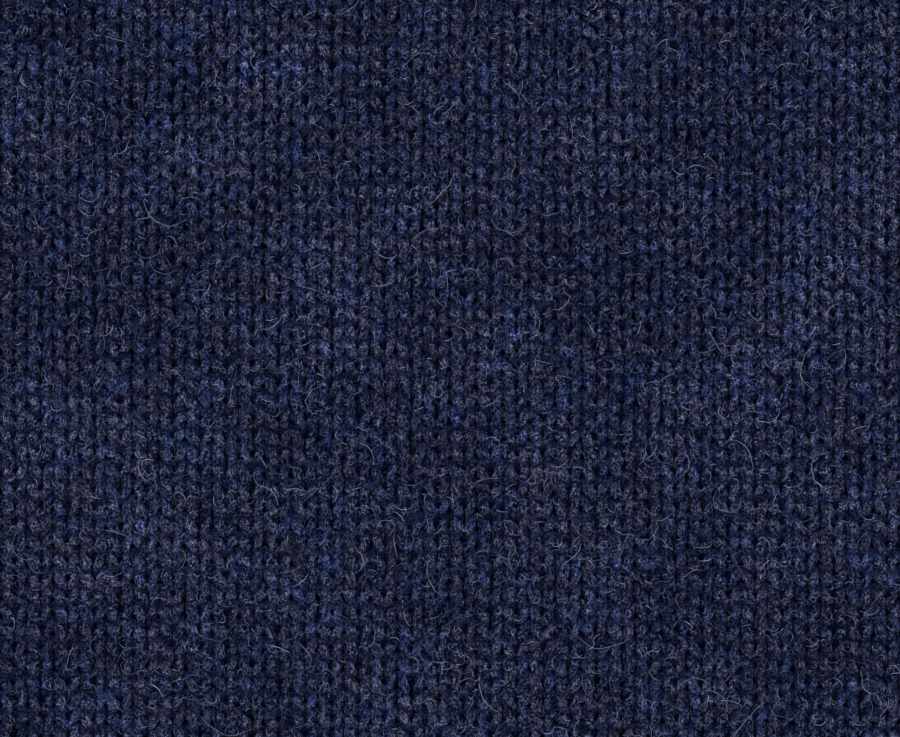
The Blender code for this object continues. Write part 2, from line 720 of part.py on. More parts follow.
def build_chain(finish):
    """The closed teeth of both sides, as one bar, and the stops at their ends."""
    half = CHAIN_THICKNESS / 2
    for name, start, end in (
        ("zip_chain", CHAIN_START, CHAIN_END),
        ("zip_bottom_stop", STOP_START, STOP_START + STOP_LENGTH),
    ):
        low = (-CHAIN_HALF_WIDTH, start, TAPE_MIDDLE - half)
        high = (CHAIN_HALF_WIDTH, end, TAPE_MIDDLE + half)
        add_object(name, box(name, low, high, METAL_EDGE), finish)
    start = SLIDER_TOP_END + TOP_STOP_GAP
    base = TAPE_TOP + SEAM
    for name, side in (("zip_top_stop_left", 1), ("zip_top_stop_right", -1)):
        across = sorted((side * TAPE_INNER, side * (SLIT_HALF_WIDTH - SEAM)))
        high = (across[1], start + TOP_STOP_LENGTH, base + TOP_STOP_THICKNESS)
        add_object(name, box(name, (across[0], start, base), high, METAL_EDGE), finish)


def build_slider(finish):
    """Two plates with turned edges, the wedge that parts the teeth, and the tab's bridge."""
    half = SLIDER_HALF_WIDTH
    top = TAPE_MIDDLE + CHANNEL
    low = TAPE_MIDDLE - CHANNEL
    plate_high = (half, SLIDER_TOP_END, top + PLATE)
    upper = box("upper_plate", (-half, SLIDER_START, top), plate_high, PLATE_EDGE)
    slider = add_object("zip_slider", upper, finish)
    plate_low = (-half, SLIDER_START, low - PLATE)
    join(slider, box("lower_plate", plate_low, (half, SLIDER_TOP_END, low), PLATE_EDGE))
    wedge_low = (-WEDGE_HALF_WIDTH, SLIDER_TOP_END - WEDGE_LENGTH, low - PLATE / 2)
    wedge_high = (WEDGE_HALF_WIDTH, SLIDER_TOP_END - INSET, top + PLATE / 2)
    join(slider, box("wedge", wedge_low, wedge_high))
    slot = TAPE_THICKNESS / 2 + SEAM
    for side in (1, -1):
        across = sorted((side * (CHAIN_HALF_WIDTH + SEAM), side * (half - INSET)))
        for part, bottom, ceiling in (
            ("upper_edge", TAPE_MIDDLE + slot, top + PLATE / 2),
            ("lower_edge", low - PLATE / 2, TAPE_MIDDLE - slot),
        ):
            edge_low = (across[0], SLIDER_START + TURNED_EDGE_INSET, bottom)
            edge_high = (across[1], SLIDER_TOP_END - TURNED_EDGE_INSET, ceiling)
            join(slider, box(f"{part}_{side}", edge_low, edge_high))
    base = top + PLATE
    ceiling = base + BRIDGE_OPENING
    wide = BRIDGE_HALF_WIDTH
    arch_low = (-wide, SLIDER_MIDDLE - BRIDGE_REACH, ceiling)
    arch_high = (wide, SLIDER_MIDDLE + BRIDGE_REACH, ceiling + BRIDGE_THICKNESS)
    join(slider, box("bridge", arch_low, arch_high, METAL_EDGE))
    for side in (1, -1):
        along = sorted((side * (BRIDGE_REACH - INSET), side * (BRIDGE_REACH - BRIDGE_POST)))
        post_low = (INSET - wide, SLIDER_MIDDLE + along[0], base - PLATE / 2)
        post_high = (wide - INSET, SLIDER_MIDDLE + along[1], ceiling + BRIDGE_THICKNESS / 2)
        join(slider, box(f"post_{side}", post_low, post_high))


def tab_outlines():
    """The tab's edge and its window's, seen from above, with the tab pointing to the hem."""
    back = TAB_THICKNESS / 2
    neck, corner = TAB_NECK / 2, TAB_WIDTH / 2
    left = [(neck, back), (neck, -TAB_SHOULDER[0]), (corner, -TAB_SHOULDER[1])]
    tip = TAB_LENGTH - corner
    turns = [math.pi * k / 8 for k in range(9)]
    end = [(corner * math.cos(turn), -tip - corner * math.sin(turn)) for turn in turns]
    half = TAB_WINDOW / 2
    window = [(-half, -back), (half, -back), (half, -TAB_WINDOW_REACH), (-half, -TAB_WINDOW_REACH)]
    return [*left, *end, *((-x, y) for x, y in reversed(left))], window


def build_pull_tab(finish):
    """A flat tab with a window: the bar at its end lies under the slider's bridge.

    Its origin is in the middle of the bar, on the line that it turns about.
    """
    curve = bpy.data.curves.new("tab_outline", "CURVE")
    curve.dimensions = "2D"
    curve.fill_mode = "BOTH"
    curve.extrude = TAB_THICKNESS / 2
    for points in tab_outlines():
        spline = curve.splines.new("POLY")
        spline.points.add(len(points) - 1)
        spline.use_cyclic_u = True
        for point, (x, y) in zip(spline.points, points):
            point.co = (x, y, 0.0, 1.0)
    flat = bpy.data.objects.new("tab_outline", curve)
    graph = bpy.context.evaluated_depsgraph_get()
    mesh = bpy.data.meshes.new_from_object(flat.evaluated_get(graph))
    bpy.data.objects.remove(flat)
    shape = bmesh.new()
    shape.from_mesh(mesh)
    bmesh.ops.remove_doubles(shape, verts=shape.verts, dist=0.00001)
    bmesh.ops.recalc_face_normals(shape, faces=shape.faces)
    shape.to_mesh(mesh)
    shape.free()
    tab = add_object("zip_pull_tab", mesh, finish)
    tab.location = (0.0, SLIDER_MIDDLE - MIDDLE_HEIGHT, AXIS_HEIGHT)
    tab.rotation_euler = (TAB_TILT, 0.0, 0.0)


def build():
    for old in list(bpy.data.objects):
        bpy.data.objects.remove(old)
    for name in ("zip_neck_sweater", "cutters"):
        made = bpy.data.collections.new(name)
        bpy.context.scene.collection.children.link(made)
    knit = material("navy_wool_knit", (0.020, 0.026, 0.060), 0.95)
    rib = material("navy_wool_rib", (0.018, 0.023, 0.055), 0.95)
    tape = material("navy_zip_tape", (0.008, 0.011, 0.026), 0.85)
    metal = material("nickel", (0.42, 0.41, 0.40), 0.32, 1.0)
    build_front(knit)
    build_back(knit)
    build_hem_ribs(rib)
    for name, mirrored in (("left", 1.0), ("right", -1.0)):
        build_sleeve(f"sleeve_{name}", mirrored, knit)
        build_cuff(f"cuff_{name}", mirrored, rib)
    build_collar(rib)
    build_tapes(tape)
    build_chain(metal)
    build_slider(metal)
    build_pull_tab(metal)


build()
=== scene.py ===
# %% [markdown]
# # A zip-neck sweater in heathered navy wool
#
# This lesson dresses a packed construction model of a knitted sweater that lies flat with
# its front up. The model gives the place and size of each piece. Here each piece gets its
# real surface: cloth knitted from twisted wool, ribs, a woven zip tape and metal teeth.
# The camera looks straight down on a hand's breadth of the front, so that the single
# stitches and stray hairs of the wool fill the picture.

# %% Tools and the fixed frame
import math

import bmesh
import bpy
import numpy as np
from mathutils import Matrix, Vector


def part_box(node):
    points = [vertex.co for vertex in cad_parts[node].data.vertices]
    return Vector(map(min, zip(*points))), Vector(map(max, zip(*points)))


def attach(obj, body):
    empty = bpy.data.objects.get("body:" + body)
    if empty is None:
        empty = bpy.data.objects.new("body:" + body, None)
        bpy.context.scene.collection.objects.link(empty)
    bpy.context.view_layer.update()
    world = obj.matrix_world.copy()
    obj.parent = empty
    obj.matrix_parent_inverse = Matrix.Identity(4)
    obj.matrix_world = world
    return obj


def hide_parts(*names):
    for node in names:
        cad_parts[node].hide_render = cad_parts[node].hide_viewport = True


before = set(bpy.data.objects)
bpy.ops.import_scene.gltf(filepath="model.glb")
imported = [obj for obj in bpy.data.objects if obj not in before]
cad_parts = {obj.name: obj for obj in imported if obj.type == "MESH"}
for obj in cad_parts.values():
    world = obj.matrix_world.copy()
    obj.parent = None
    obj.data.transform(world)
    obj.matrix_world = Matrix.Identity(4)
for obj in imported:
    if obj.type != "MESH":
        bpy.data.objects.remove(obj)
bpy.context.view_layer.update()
scene = bpy.context.scene
print("nodes:", sorted(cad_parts))

# %% [markdown]
# ## The stitch is the unit of everything
#
# In plain knit every stitch is a loop that is a little wider than it is high: its columns
# are called wales and its rows are called courses. Sizes in the cloth follow from these
# two numbers, so they come first. The piece of cloth that the camera sees is knitted from
# real loops of yarn. The rest of the garment is too large for that, so its stitches are
# drawn by the material on the same lattice.

# %% Stitch sizes and the view
WALE = 0.00375  # width of a stitch
COURSE = 0.00250  # height of a stitch
PICTURE_WIDTH, PICTURE_HEIGHT = 900, 737
WALES_ACROSS = 34  # stitches across the picture
VIEW_WIDTH = WALES_ACROSS * WALE
VIEW_HEIGHT = VIEW_WIDTH * PICTURE_HEIGHT / PICTURE_WIDTH
HEM_TO_MIDDLE = 0.373  # heights are drawn from the hem, and the origin is half way up
VIEW_UP = 0.250  # height above the hem that the camera looks at
FLAT_TOP = 0.0058  # height of the upper layer of cloth there
print(f"the picture shows {VIEW_WIDTH * 1000:.1f} by {VIEW_HEIGHT * 1000:.1f} mm of cloth")

# %% [markdown]
# ## The camera
#
# The picture is taken straight down on flat cloth. The columns of stitches point down in
# it, which means that the hem is at its top, so the camera is turned half round. A long
# lens close to the cloth keeps the stitches at the edges as square as those in the middle.

# %% Camera
LENS = 100.0
SENSOR = 36.0
CAMERA_HEIGHT = VIEW_WIDTH * LENS / SENSOR
VIEW_Y = VIEW_UP - HEM_TO_MIDDLE
TURN = 2 * math.pi  # a whole turn


def add_object(name, data):
    """A new object in the scene."""
    piece = bpy.data.objects.new(name, data)
    scene.collection.objects.link(piece)
    return piece


camera_data = bpy.data.cameras.new("camera")
camera_data.lens = LENS
camera_data.sensor_width = SENSOR
camera_data.clip_start = 0.01
camera = add_object("camera", camera_data)
camera.location = (0.0, VIEW_Y, FLAT_TOP + CAMERA_HEIGHT)
camera.rotation_euler = (0.0, 0.0, TURN / 2)
scene.camera = camera
print(f"camera {CAMERA_HEIGHT * 1000:.0f} mm above the cloth")

# %% [markdown]
# ## Node trees written as sums
#
# Materials and Geometry Nodes are both trees of nodes. A small class wraps the output of a
# node, so that a formula in the script adds its own Math nodes. Its operators and functions
# differ only in the name of the node's operation, so two helpers make them all.


# %% A class for node outputs
def two_way(operation):
    """An operator on two values, and the same one with the values changed round."""

    def forward(self, other):
        return self.math(operation, self, other)

    def reflected(self, other):
        return self.math(operation, other, self)

    return forward, reflected


def function_of(operation):
    """A function of one value, and of a second one if the operation has it."""

    def result(self, *others):
        return self.math(operation, self, *others)

    return result


class Signal:
    """An output of a node that Python's operators work on."""

    __add__, __radd__ = two_way("ADD")
    __sub__, __rsub__ = two_way("SUBTRACT")
    __mul__, __rmul__ = two_way("MULTIPLY")
    __truediv__, __rtruediv__ = two_way("DIVIDE")
    sine, cosine = function_of("SINE"), function_of("COSINE")
    fraction, absolute = function_of("FRACT"), function_of("ABSOLUTE")
    sign, power, most = function_of("SIGN"), function_of("POWER"), function_of("MAXIMUM")

    def __init__(self, tree, node, socket):
        self.tree, self.node, self.socket = tree, node, socket

    def out(self, name):
        return Signal(self.tree, self.node, self.tree.socket(self.node.outputs, name))

    def math(self, operation, *values):
        return self.tree.make("ShaderNodeMath", dict(enumerate(values)), operation=operation)

    def ramp(self, low, high, to_low=0.0, to_high=1.0):
        """Runs smoothly from to_low to to_high as the value goes from low to high."""
        sizes = {"Value": self, "From Min": low, "From Max": high}
        sizes |= {"To Min": to_low, "To Max": to_high}
        return self.tree.make("ShaderNodeMapRange", sizes, interpolation_type="SMOOTHSTEP")


print("a value can be added, subtracted, multiplied and divided")

# %% [markdown]
# ## One method for every node
#
# Every other node comes from one method. It takes the node's type, the values or links of
# its sockets, and its settings, which it sets first because they decide which sockets
# there are. The nodes that are used often get a short name of their own.


# %% A class for node trees
class Tree:
    """Makes the nodes of one tree."""

    def __init__(self, tree):
        self.tree = tree

    @staticmethod
    def socket(sockets, name):
        if isinstance(name, int):
            return sockets[name]
        for socket in sockets:
            if name == socket.identifier or (name == socket.name and socket.enabled):
                return socket
        raise KeyError(name)

    def make(self, kind, sockets=None, output=0, **settings):
        node = self.tree.nodes.new(kind)
        for name, value in settings.items():
            setattr(node, name, value)
        for name, value in (sockets or {}).items():
            socket = self.socket(node.inputs, name)
            if isinstance(value, Signal):
                self.tree.links.new(value.socket, socket)
            else:
                socket.default_value = value
        found = self.socket(node.outputs, output) if node.outputs else None
        return Signal(self, node, found)

    def vector(self, x, y, z):
        return self.make("ShaderNodeCombineXYZ", {0: x, 1: y, 2: z})

    def split(self, vector):
        parts = self.make("ShaderNodeSeparateXYZ", {0: vector})
        return [parts.out(axis) for axis in "XYZ"]

    def noise(self, vector, scale=1.0, detail=1.0, roughness=0.5, output="Fac"):
        sizes = {"Vector": vector, "Scale": scale, "Detail": detail, "Roughness": roughness}
        return self.make("ShaderNodeTexNoise", sizes, output, noise_dimensions="3D")

    def mix(self, share, first, second, blend="MIX"):
        """A colour between two others."""
        sockets = {"Factor_Float": share, "A_Color": first, "B_Color": second}
        settings = {"data_type": "RGBA", "blend_type": blend}
        return self.make("ShaderNodeMix", sockets, "Result_Color", **settings)

    def shade(self, colour, value):
        """A colour made darker or lighter by a number."""
        grey = self.make("ShaderNodeCombineColor", {0: value, 1: value, 2: value})
        return self.mix(1.0, colour, grey, "MULTIPLY")


print("a tree makes its nodes, links and colours")


# %% A class for materials
class Finish(Tree):
    """The tree of a material. What is the same all over is set on the shader itself."""

    def __init__(self, name, roughness, metallic=0.0, specular=0.5):
        self.material = bpy.data.materials.new(name)
        self.material.use_nodes = True
        super().__init__(self.material.node_tree)
        self.shader = self.tree.nodes["Principled BSDF"]
        self.set("Roughness", roughness)
        self.set("Metallic", metallic)
        self.set("Specular IOR Level", specular)

    def set(self, socket, value):
        self.shader.inputs[socket].default_value = value

    def place(self):
        """The place on the piece, in metres."""
        return self.make("ShaderNodeTexCoord", output="Object")

    def attribute(self, name, output="Fac"):
        return self.make("ShaderNodeAttribute", output=output, attribute_name=name)

    def bump(self, height, distance, strength=1.0):
        return self.make(
            "ShaderNodeBump", {"Height": height, "Distance": distance, "Strength": strength}
        )

    def wired(self, **signals):
        """The material, with signals to sockets that are named with _ for a space."""
        for name, signal in signals.items():
            self.tree.links.new(signal.socket, self.shader.inputs[name.replace("_", " ")])
        print("made", self.material.name)
        return self.material


print("a finish keeps to the shader's own sockets")

# %% [markdown]
# ## Heather: many colours of fibre in one yarn
#
# Heathered wool is spun from fleece that was dyed in several shades before spinning. Close
# up the yarn is a bundle of dark navy, clear blue, violet, brown and pale fibres, and from
# a step away it blends to one soft navy with cloudy lighter and darker places. So the
# colour has three parts: streaks as fine as a few fibres, single pale fibres that lean to
# blue or to grey, and clouds many stitches wide where one dyed shade has the upper hand.

# %% The colours of the fibres, and the dark blue of the painted shade between them
# The first colour is no fibre's own: it is painted shade, the dark blue that the materials mix in
# deep between the stitches, where little light comes back.
GAP_SHADE = (0.0003, 0.0026, 0.0140, 1.0)
INK = (0.0004, 0.0012, 0.0065, 1.0)
NAVY = (0.0060, 0.0106, 0.0440, 1.0)
CLEAR_BLUE = (0.0155, 0.0355, 0.1450, 1.0)
VIOLET = (0.0240, 0.0230, 0.0760, 1.0)
BROWN = (0.0130, 0.0105, 0.0170, 1.0)
PALE_WARM = (0.5640, 0.5880, 0.9000, 1.0)
PALE_BLUE = (0.4860, 0.5600, 0.9700, 1.0)
CLOUD_SCALE = 55.0  # these three are patterns on each metre
HUE_SCALE = 230.0
GRAIN_SCALE = 2600.0
BROWN_SHARE = 0.6
PALE_SHARE = 0.68
STROKES = [  # lines on each metre, shift of the pattern, half width, weight
    (1000.0, 3.0, 0.018, 0.75),
    (1700.0, 7.0, 0.028, 0.90),
    (2700.0, 11.0, 0.042, 1.00),
]


def fibre_strokes(tree, place):
    """Curly lines as thin as single fibres, 0 to 1, which cross in all directions."""
    x, y, z = tree.split(place)
    strokes = 0.0
    for scale, shift, half_width, weight in STROKES:
        own = tree.vector(x + shift, y - shift, z + shift)
        line = (tree.noise(own, scale=scale, detail=1.5) - 0.5).absolute()
        line = line.ramp(0.0, half_width, 1.0, 0.0)
        patchy = tree.noise(own, scale=scale * 0.9, detail=0.0).ramp(0.45, 0.72)
        strokes = (line * patchy * weight).most(strokes)
    return strokes


def grain(tree, place):
    """The finest unevenness of the wool, about 0.5."""
    return tree.noise(place, scale=GRAIN_SCALE, detail=2.0, roughness=0.65)


def heather(tree, streaks, strokes, place):
    """The colour of the wool from streaks and strokes, 0 to 1, and its place in metres."""
    clouds = tree.noise(place, scale=CLOUD_SCALE, detail=3.0, roughness=0.6)
    hues = tree.noise(place, scale=HUE_SCALE, detail=2.5, roughness=0.65, output="Color")
    violet, blue, brown = tree.split(hues)
    light_streaks = streaks.ramp(0.35, 0.65)
    base = tree.mix(streaks.ramp(0.25, 0.70), INK, NAVY)
    base = tree.mix(blue.ramp(0.50, 0.66) * light_streaks, base, CLEAR_BLUE)
    base = tree.mix(violet.ramp(0.52, 0.66) * light_streaks, base, VIOLET)
    base = tree.mix(brown.ramp(0.54, 0.68) * BROWN_SHARE, base, BROWN)
    pale = tree.mix(blue.ramp(0.44, 0.58), PALE_WARM, PALE_BLUE)
    base = tree.mix(strokes.power(1.3) * PALE_SHARE, base, pale)
    return tree.shade(base, clouds.ramp(0.30, 0.72, 0.72, 1.30))


print("sizes of stroke:", len(STROKES))

# %% [markdown]
# ## The yarn's own material
#
# The streaks have to run along the yarn and wind round it with the twist. Each point of
# the yarn carries two attributes for this: how far along the thread it is, in stitches,
# and the direction in which it faces from the thread's core. Noise that is squeezed in the
# first and fine in the second makes long thin streaks. Little light comes back from deep
# between the stitches, or from where a leg of yarn dives under the next, so shade is
# painted there: the colour fades to the dark blue of the gaps.

# %% Material of the knitted yarn
STREAKS_ALONG = 6.5  # for each stitch
STREAKS_ROUND = 4.4  # for each radius of the yarn
DARK_DEPTH = 0.0020  # this far down between the stitches hardly any light comes back
NAP_SCALE = 650.0
# The next two set the painted shade at the ends of each leg, where it dives under the next course.
LEG_END_SHADE = 9.0  # how fast a leg darkens towards its ends
LEG_END_LIGHT = 0.10  # what is left of the light there
YARN_RELIEF = 0.00035


def make_yarn_material():
    tree = Finish("wool_yarn", 0.95, specular=0.0)
    along = tree.attribute("yarn_along")
    across_x, across_y, _ = tree.split(tree.attribute("yarn_facing", "Vector"))
    place = tree.place()
    thread = tree.vector(
        along * STREAKS_ALONG, across_x * STREAKS_ROUND, across_y * STREAKS_ROUND
    )
    fibres = tree.noise(thread, scale=1.0, detail=3.0, roughness=0.72)
    fine = grain(tree, place)
    lengthwise = (tree.noise(thread, scale=2.1, detail=1.0) - 0.5).absolute()
    lengthwise = lengthwise.ramp(0.0, 0.030, 1.0, 0.0) * fine.ramp(0.44, 0.62)
    strokes = (fibre_strokes(tree, place) * 0.72).most(lengthwise * 1.1)
    streaks = fibres * 0.62 + fine * 0.38
    _, _, height = tree.split(place)
    nap = tree.noise(place, scale=NAP_SCALE, detail=2.0, roughness=0.6, output="Color")
    nap_over_gap, shade, _ = tree.split(nap)
    # lit is the share of painted light in the colour: it falls to the dark blue of painted shade
    # deep between the stitches and at the ends of the legs, is lower in random patches of the nap,
    # and stays up where nap fibres cross a gap.
    lit = height.ramp(FLAT_TOP - DARK_DEPTH, FLAT_TOP).most(nap_over_gap.ramp(0.50, 0.66) * 0.7)
    leg = (along * TURN).sine().absolute().power(LEG_END_SHADE)
    lit = lit * (leg * (1.0 - LEG_END_LIGHT) + LEG_END_LIGHT)
    lit = lit * shade.ramp(0.34, 0.52, 0.45, 1.0)
    colour = tree.mix(lit, GAP_SHADE, heather(tree, streaks.ramp(0.36, 0.66), strokes, place))
    return tree.wired(Base_Color=colour, Normal=tree.bump(streaks, YARN_RELIEF, 0.9))


YARN = make_yarn_material()

# %% [markdown]
# ## Stray fibres
#
# Wool is never smooth: fibres stand out of the twist and curl over the stitches. They are
# paler than the yarn, because light shines through them. Each hair carries a random
# number, so that no two have quite the same shade.

# %% Material of the stray fibres
HAIR_DARK = (0.012, 0.018, 0.070, 1.0)
HAIR_PALE = (0.450, 0.490, 0.760, 1.0)
FEW_ARE_PALE = 5.5  # the higher, the fewer

hair_finish = Finish("wool_hair", 0.70, specular=0.1)
own_shade = hair_finish.attribute("hair_shade").power(FEW_ARE_PALE)
HAIR = hair_finish.wired(Base_Color=hair_finish.mix(own_shade, HAIR_DARK, HAIR_PALE))

# %% [markdown]
# ## Stitches drawn by a material
#
# Away from the camera's patch, the stitches are drawn on the plain wall. Each piece has a
# UV map that counts wales across and courses up. From it follow the two legs of each
# stitch: slanting strands that rise between the grooves. The same sum gives the relief of
# the bump and the shade in the grooves, so light and colour agree.

# %% Material of the plain knit
RELIEF = 0.0007  # depth of the stitches in metres
UPRIGHT_LEG, BROAD_LEG = 4.4, 2.5  # courses that a leg would rise across a whole wale
HAIRINESS = 1.12  # stray hairs are drawn on the wall too, as stronger strokes
WOBBLE_SCALE = 160.0
WOBBLE_U, WOBBLE_V = 0.30, 0.45  # in wales and courses


def wave(value):
    """A wave between 0 and 1, highest where the value is whole."""
    return (value * TURN).cosine() * 0.5 + 0.5


def stitch_relief(u, v):
    """Height of plain stitches, 0 to 1, over counts of wales and courses."""
    side = (u + 0.5).fraction() - 0.5
    off_centre = side.absolute()
    rise = side.ramp(-0.01, 0.01, BROAD_LEG, UPRIGHT_LEG)
    strand = wave(v - rise * (off_centre - 0.25))
    across = off_centre * 4.0 - 1.0
    across = 1.0 - across * across
    return across.power(0.7) * (0.22 + 0.78 * strand)


def make_wall_material(name, relief_of):
    """Wool whose stitches are drawn by relief_of(u, v)."""
    tree = Finish(name, 0.95, specular=0.0)
    place = tree.place()
    u, v, _ = tree.split(tree.make("ShaderNodeUVMap", output="UV", uv_map="stitches"))
    wobble = tree.noise(place, scale=WOBBLE_SCALE, detail=2.0, output="Color")
    wobble_u, wobble_v, _ = tree.split(wobble)
    u = u + (wobble_u - 0.5) * WOBBLE_U
    v = v + (wobble_v - 0.5) * WOBBLE_V
    relief = relief_of(u, v)
    broad = tree.noise(place, scale=820.0, detail=2.0, roughness=0.65)
    streaks = (grain(tree, place) * 0.5 + broad * 0.5).ramp(0.38, 0.66)
    wool = heather(tree, streaks, fibre_strokes(tree, place) * HAIRINESS, place)
    # Painted shade: where the relief is low, in the grooves and in the ribs' turned wales, the
    # colour falls to the dark blue of the gaps.
    lit = relief + (streaks - 0.5) * 0.20
    colour = tree.mix(lit.ramp(0.02, 0.46), GAP_SHADE, wool)
    return tree.wired(Base_Color=colour, Normal=tree.bump(relief + streaks * 0.25, RELIEF))


KNIT = make_wall_material("knit_wall", stitch_relief)

# %% [markdown]
# ## Ribs
#
# Where a rib sinks back, the stitches are turned and show their tops: short bars, one for
# each course. They lie in the shade of the columns beside them, so they stay dark.

# %% Material of the ribs
WALES_IN_RIB = 3


def rib_relief(u, v):
    """Two plain wales that stand forward, then one turned wale that lies back."""
    plain = stitch_relief(u, v)
    from_valley = ((u * (1.0 / WALES_IN_RIB) + 0.5).fraction() - 0.5).absolute() * WALES_IN_RIB
    bars = (v * TURN).cosine() * 0.12 + 0.14
    forward = from_valley.ramp(0.36, 0.62)
    return plain * forward + bars * (1.0 - forward)


RIB = make_wall_material("rib_wall", rib_relief)

# %% [markdown]
# ## Tape and metal
#
# The tape of a zip is a tight twill: fine cords that slant one way and turn back in the
# middle. The metal is nickel plated, so it is bright but not a mirror: a little brushing
# and the dirt of handling break its shine.

# %% Materials of the zip
TAPE_IN_SHADE = (0.0060, 0.0080, 0.0200, 1.0)
TAPE_IN_LIGHT = (0.0180, 0.0220, 0.0480, 1.0)
TAPE_CORDS = 1400.0  # on each metre
NICKEL = (0.46, 0.45, 0.43, 1.0)
NICKEL_DULL = (0.24, 0.23, 0.22, 1.0)
BRUSHING = 9.0  # how much longer than wide its scratches are


def make_tape_material():
    tree = Finish("zip_tape_twill", 0.78, specular=0.25)
    place = tree.place()
    x, y, _ = tree.split(place)
    cords = ((x.absolute() * TAPE_CORDS + y * TAPE_CORDS) * TURN).sine() * 0.5 + 0.5
    threads = tree.noise(place, scale=3000.0, detail=1.0)
    relief = cords * 0.7 + threads * 0.3
    # Painted light and shade: the colour is lighter on the tops of the cords and darker in the
    # hollows between them, after the same relief as the bump; the noise of the threads in it is
    # the tape's own unevenness.
    colour = tree.mix(relief.ramp(0.2, 0.9), TAPE_IN_SHADE, TAPE_IN_LIGHT)
    return tree.wired(Base_Color=colour, Normal=tree.bump(relief, 0.0001, 0.8))


def make_metal_material():
    tree = Finish("zip_nickel", 0.3, metallic=1.0)
    place = tree.place()
    x, y, z = tree.split(place)
    brushed = tree.vector(x * BRUSHING, y, z * BRUSHING)
    brushed = tree.noise(brushed, scale=900.0, detail=3.0)
    worn = tree.noise(place, scale=420.0, detail=3.0, roughness=0.6)
    colour = tree.mix(worn.ramp(0.45, 0.75) * 0.6, NICKEL, NICKEL_DULL)
    roughness = worn.ramp(0.3, 0.7, 0.22, 0.46)
    bump = tree.bump(brushed, 0.00004, 0.35)
    return tree.wired(Base_Color=colour, Roughness=roughness, Normal=bump)


TAPE = make_tape_material()
METAL = make_metal_material()

# %% [markdown]
# ## The form of the cloth
#
# Laid flat, a sweater is two layers of cloth that turn into each other along folds: the
# sides, the arms, the shoulders and the sides of the collar. So one rule gives the height
# of the cloth anywhere. It looks up the distance to the nearest fold. Close to a fold the
# cloth rounds over, and away from it the upper layer sinks onto the lower one. Creases,
# the ridge over the zip and the rolls above hem and cuffs are then added to the upper
# layer. The sizes are those of the construction model, drawn here much more finely.

# %% Sizes of the garment, in metres, with heights from the hem
WALL = 0.0024  # thickness of the cloth
FOLD_RADIUS = 0.0040
MIDDLE_DROP = 0.0022  # how far the upper layer sinks away from a fold
DROP_REACH = 0.022
LIFT_REACH = 0.014
SEAM = 0.00005  # gap between two pieces that are sewn together
RIB_HEIGHT = 0.0008
HEM_RIB = 0.065
UNDERARM_HEIGHT = 0.430
HALF_CHEST = 0.270
HALF_SHOULDERS = 0.225
SHOULDER_TIP_HEIGHT = 0.640
HALF_NECK = 0.088
NECK_HEIGHT = 0.680
FRONT_NECK_HEIGHT = 0.622
BACK_NECK_HEIGHT = 0.662
COLLAR_SIDE_HEIGHT = 0.746
HALF_COLLAR_TOP = 0.092
COLLAR_FRONT_TOP = 0.697
COLLAR_BACK_TOP = 0.740
SLEEVE_END_WIDTH = 0.098
CUFF_WIDTH = 0.086
CUFF_LENGTH = 0.070
SLIT_HALF_WIDTH = 0.0050
SLIT_END_HEIGHT = 0.452
SLIT_END_ROUND = 0.0065  # its foot is rounded over this height
ZIP_LIFT = 0.00325
ZIP_RIDGE_FLAT = 0.017
ZIP_RIDGE_REACH = 0.056
ZIP_RIDGE_START = 0.436
ZIP_RIDGE_FADE = 0.055
HEM_RIBS = 42
CUFF_RIBS = 10
NECK_PIECES = 6
COLLAR_RIBS = 2 * NECK_PIECES  # on each half of the front's neck
print(f"{2 * HALF_CHEST * 1000:.0f} mm across the chest, {COLLAR_SIDE_HEIGHT * 1000:.0f} mm high")

# %% Points on the outline of one half
SIDE_LINE = [  # half width, height
    (0.239, 0.000), (0.236, 0.038), (0.245, HEM_RIB), (0.257, 0.090), (0.264, 0.150),
    (0.268, 0.290), (HALF_CHEST, UNDERARM_HEIGHT),
]  # fmt: skip
COLLAR_SIDE = [(HALF_NECK, NECK_HEIGHT), (0.0895, 0.712), (HALF_COLLAR_TOP, COLLAR_SIDE_HEIGHT)]
ARMHOLE = [
    (HALF_CHEST, UNDERARM_HEIGHT), (0.250, 0.470), (0.232, 0.522), (0.221, 0.580),
    (HALF_SHOULDERS, SHOULDER_TIP_HEIGHT),
]  # fmt: skip
OVERARM = [
    (HALF_SHOULDERS, SHOULDER_TIP_HEIGHT), (0.296, 0.607), (0.366, 0.548), (0.434, 0.466),
    (0.496, 0.380), (0.553, 0.295), (0.606, 0.214),
]  # fmt: skip
FRONT_NECK = [
    (SLIT_HALF_WIDTH, FRONT_NECK_HEIGHT), (0.030, 0.626), (0.055, 0.641), (0.075, 0.661),
    (HALF_NECK, NECK_HEIGHT),
]  # fmt: skip
BACK_NECK = [(0.0, BACK_NECK_HEIGHT), (0.035, 0.664), (0.065, 0.670), (HALF_NECK, NECK_HEIGHT)]
print(f"the sleeve ends {OVERARM[-1][0] * 1000:.0f} mm from the middle")

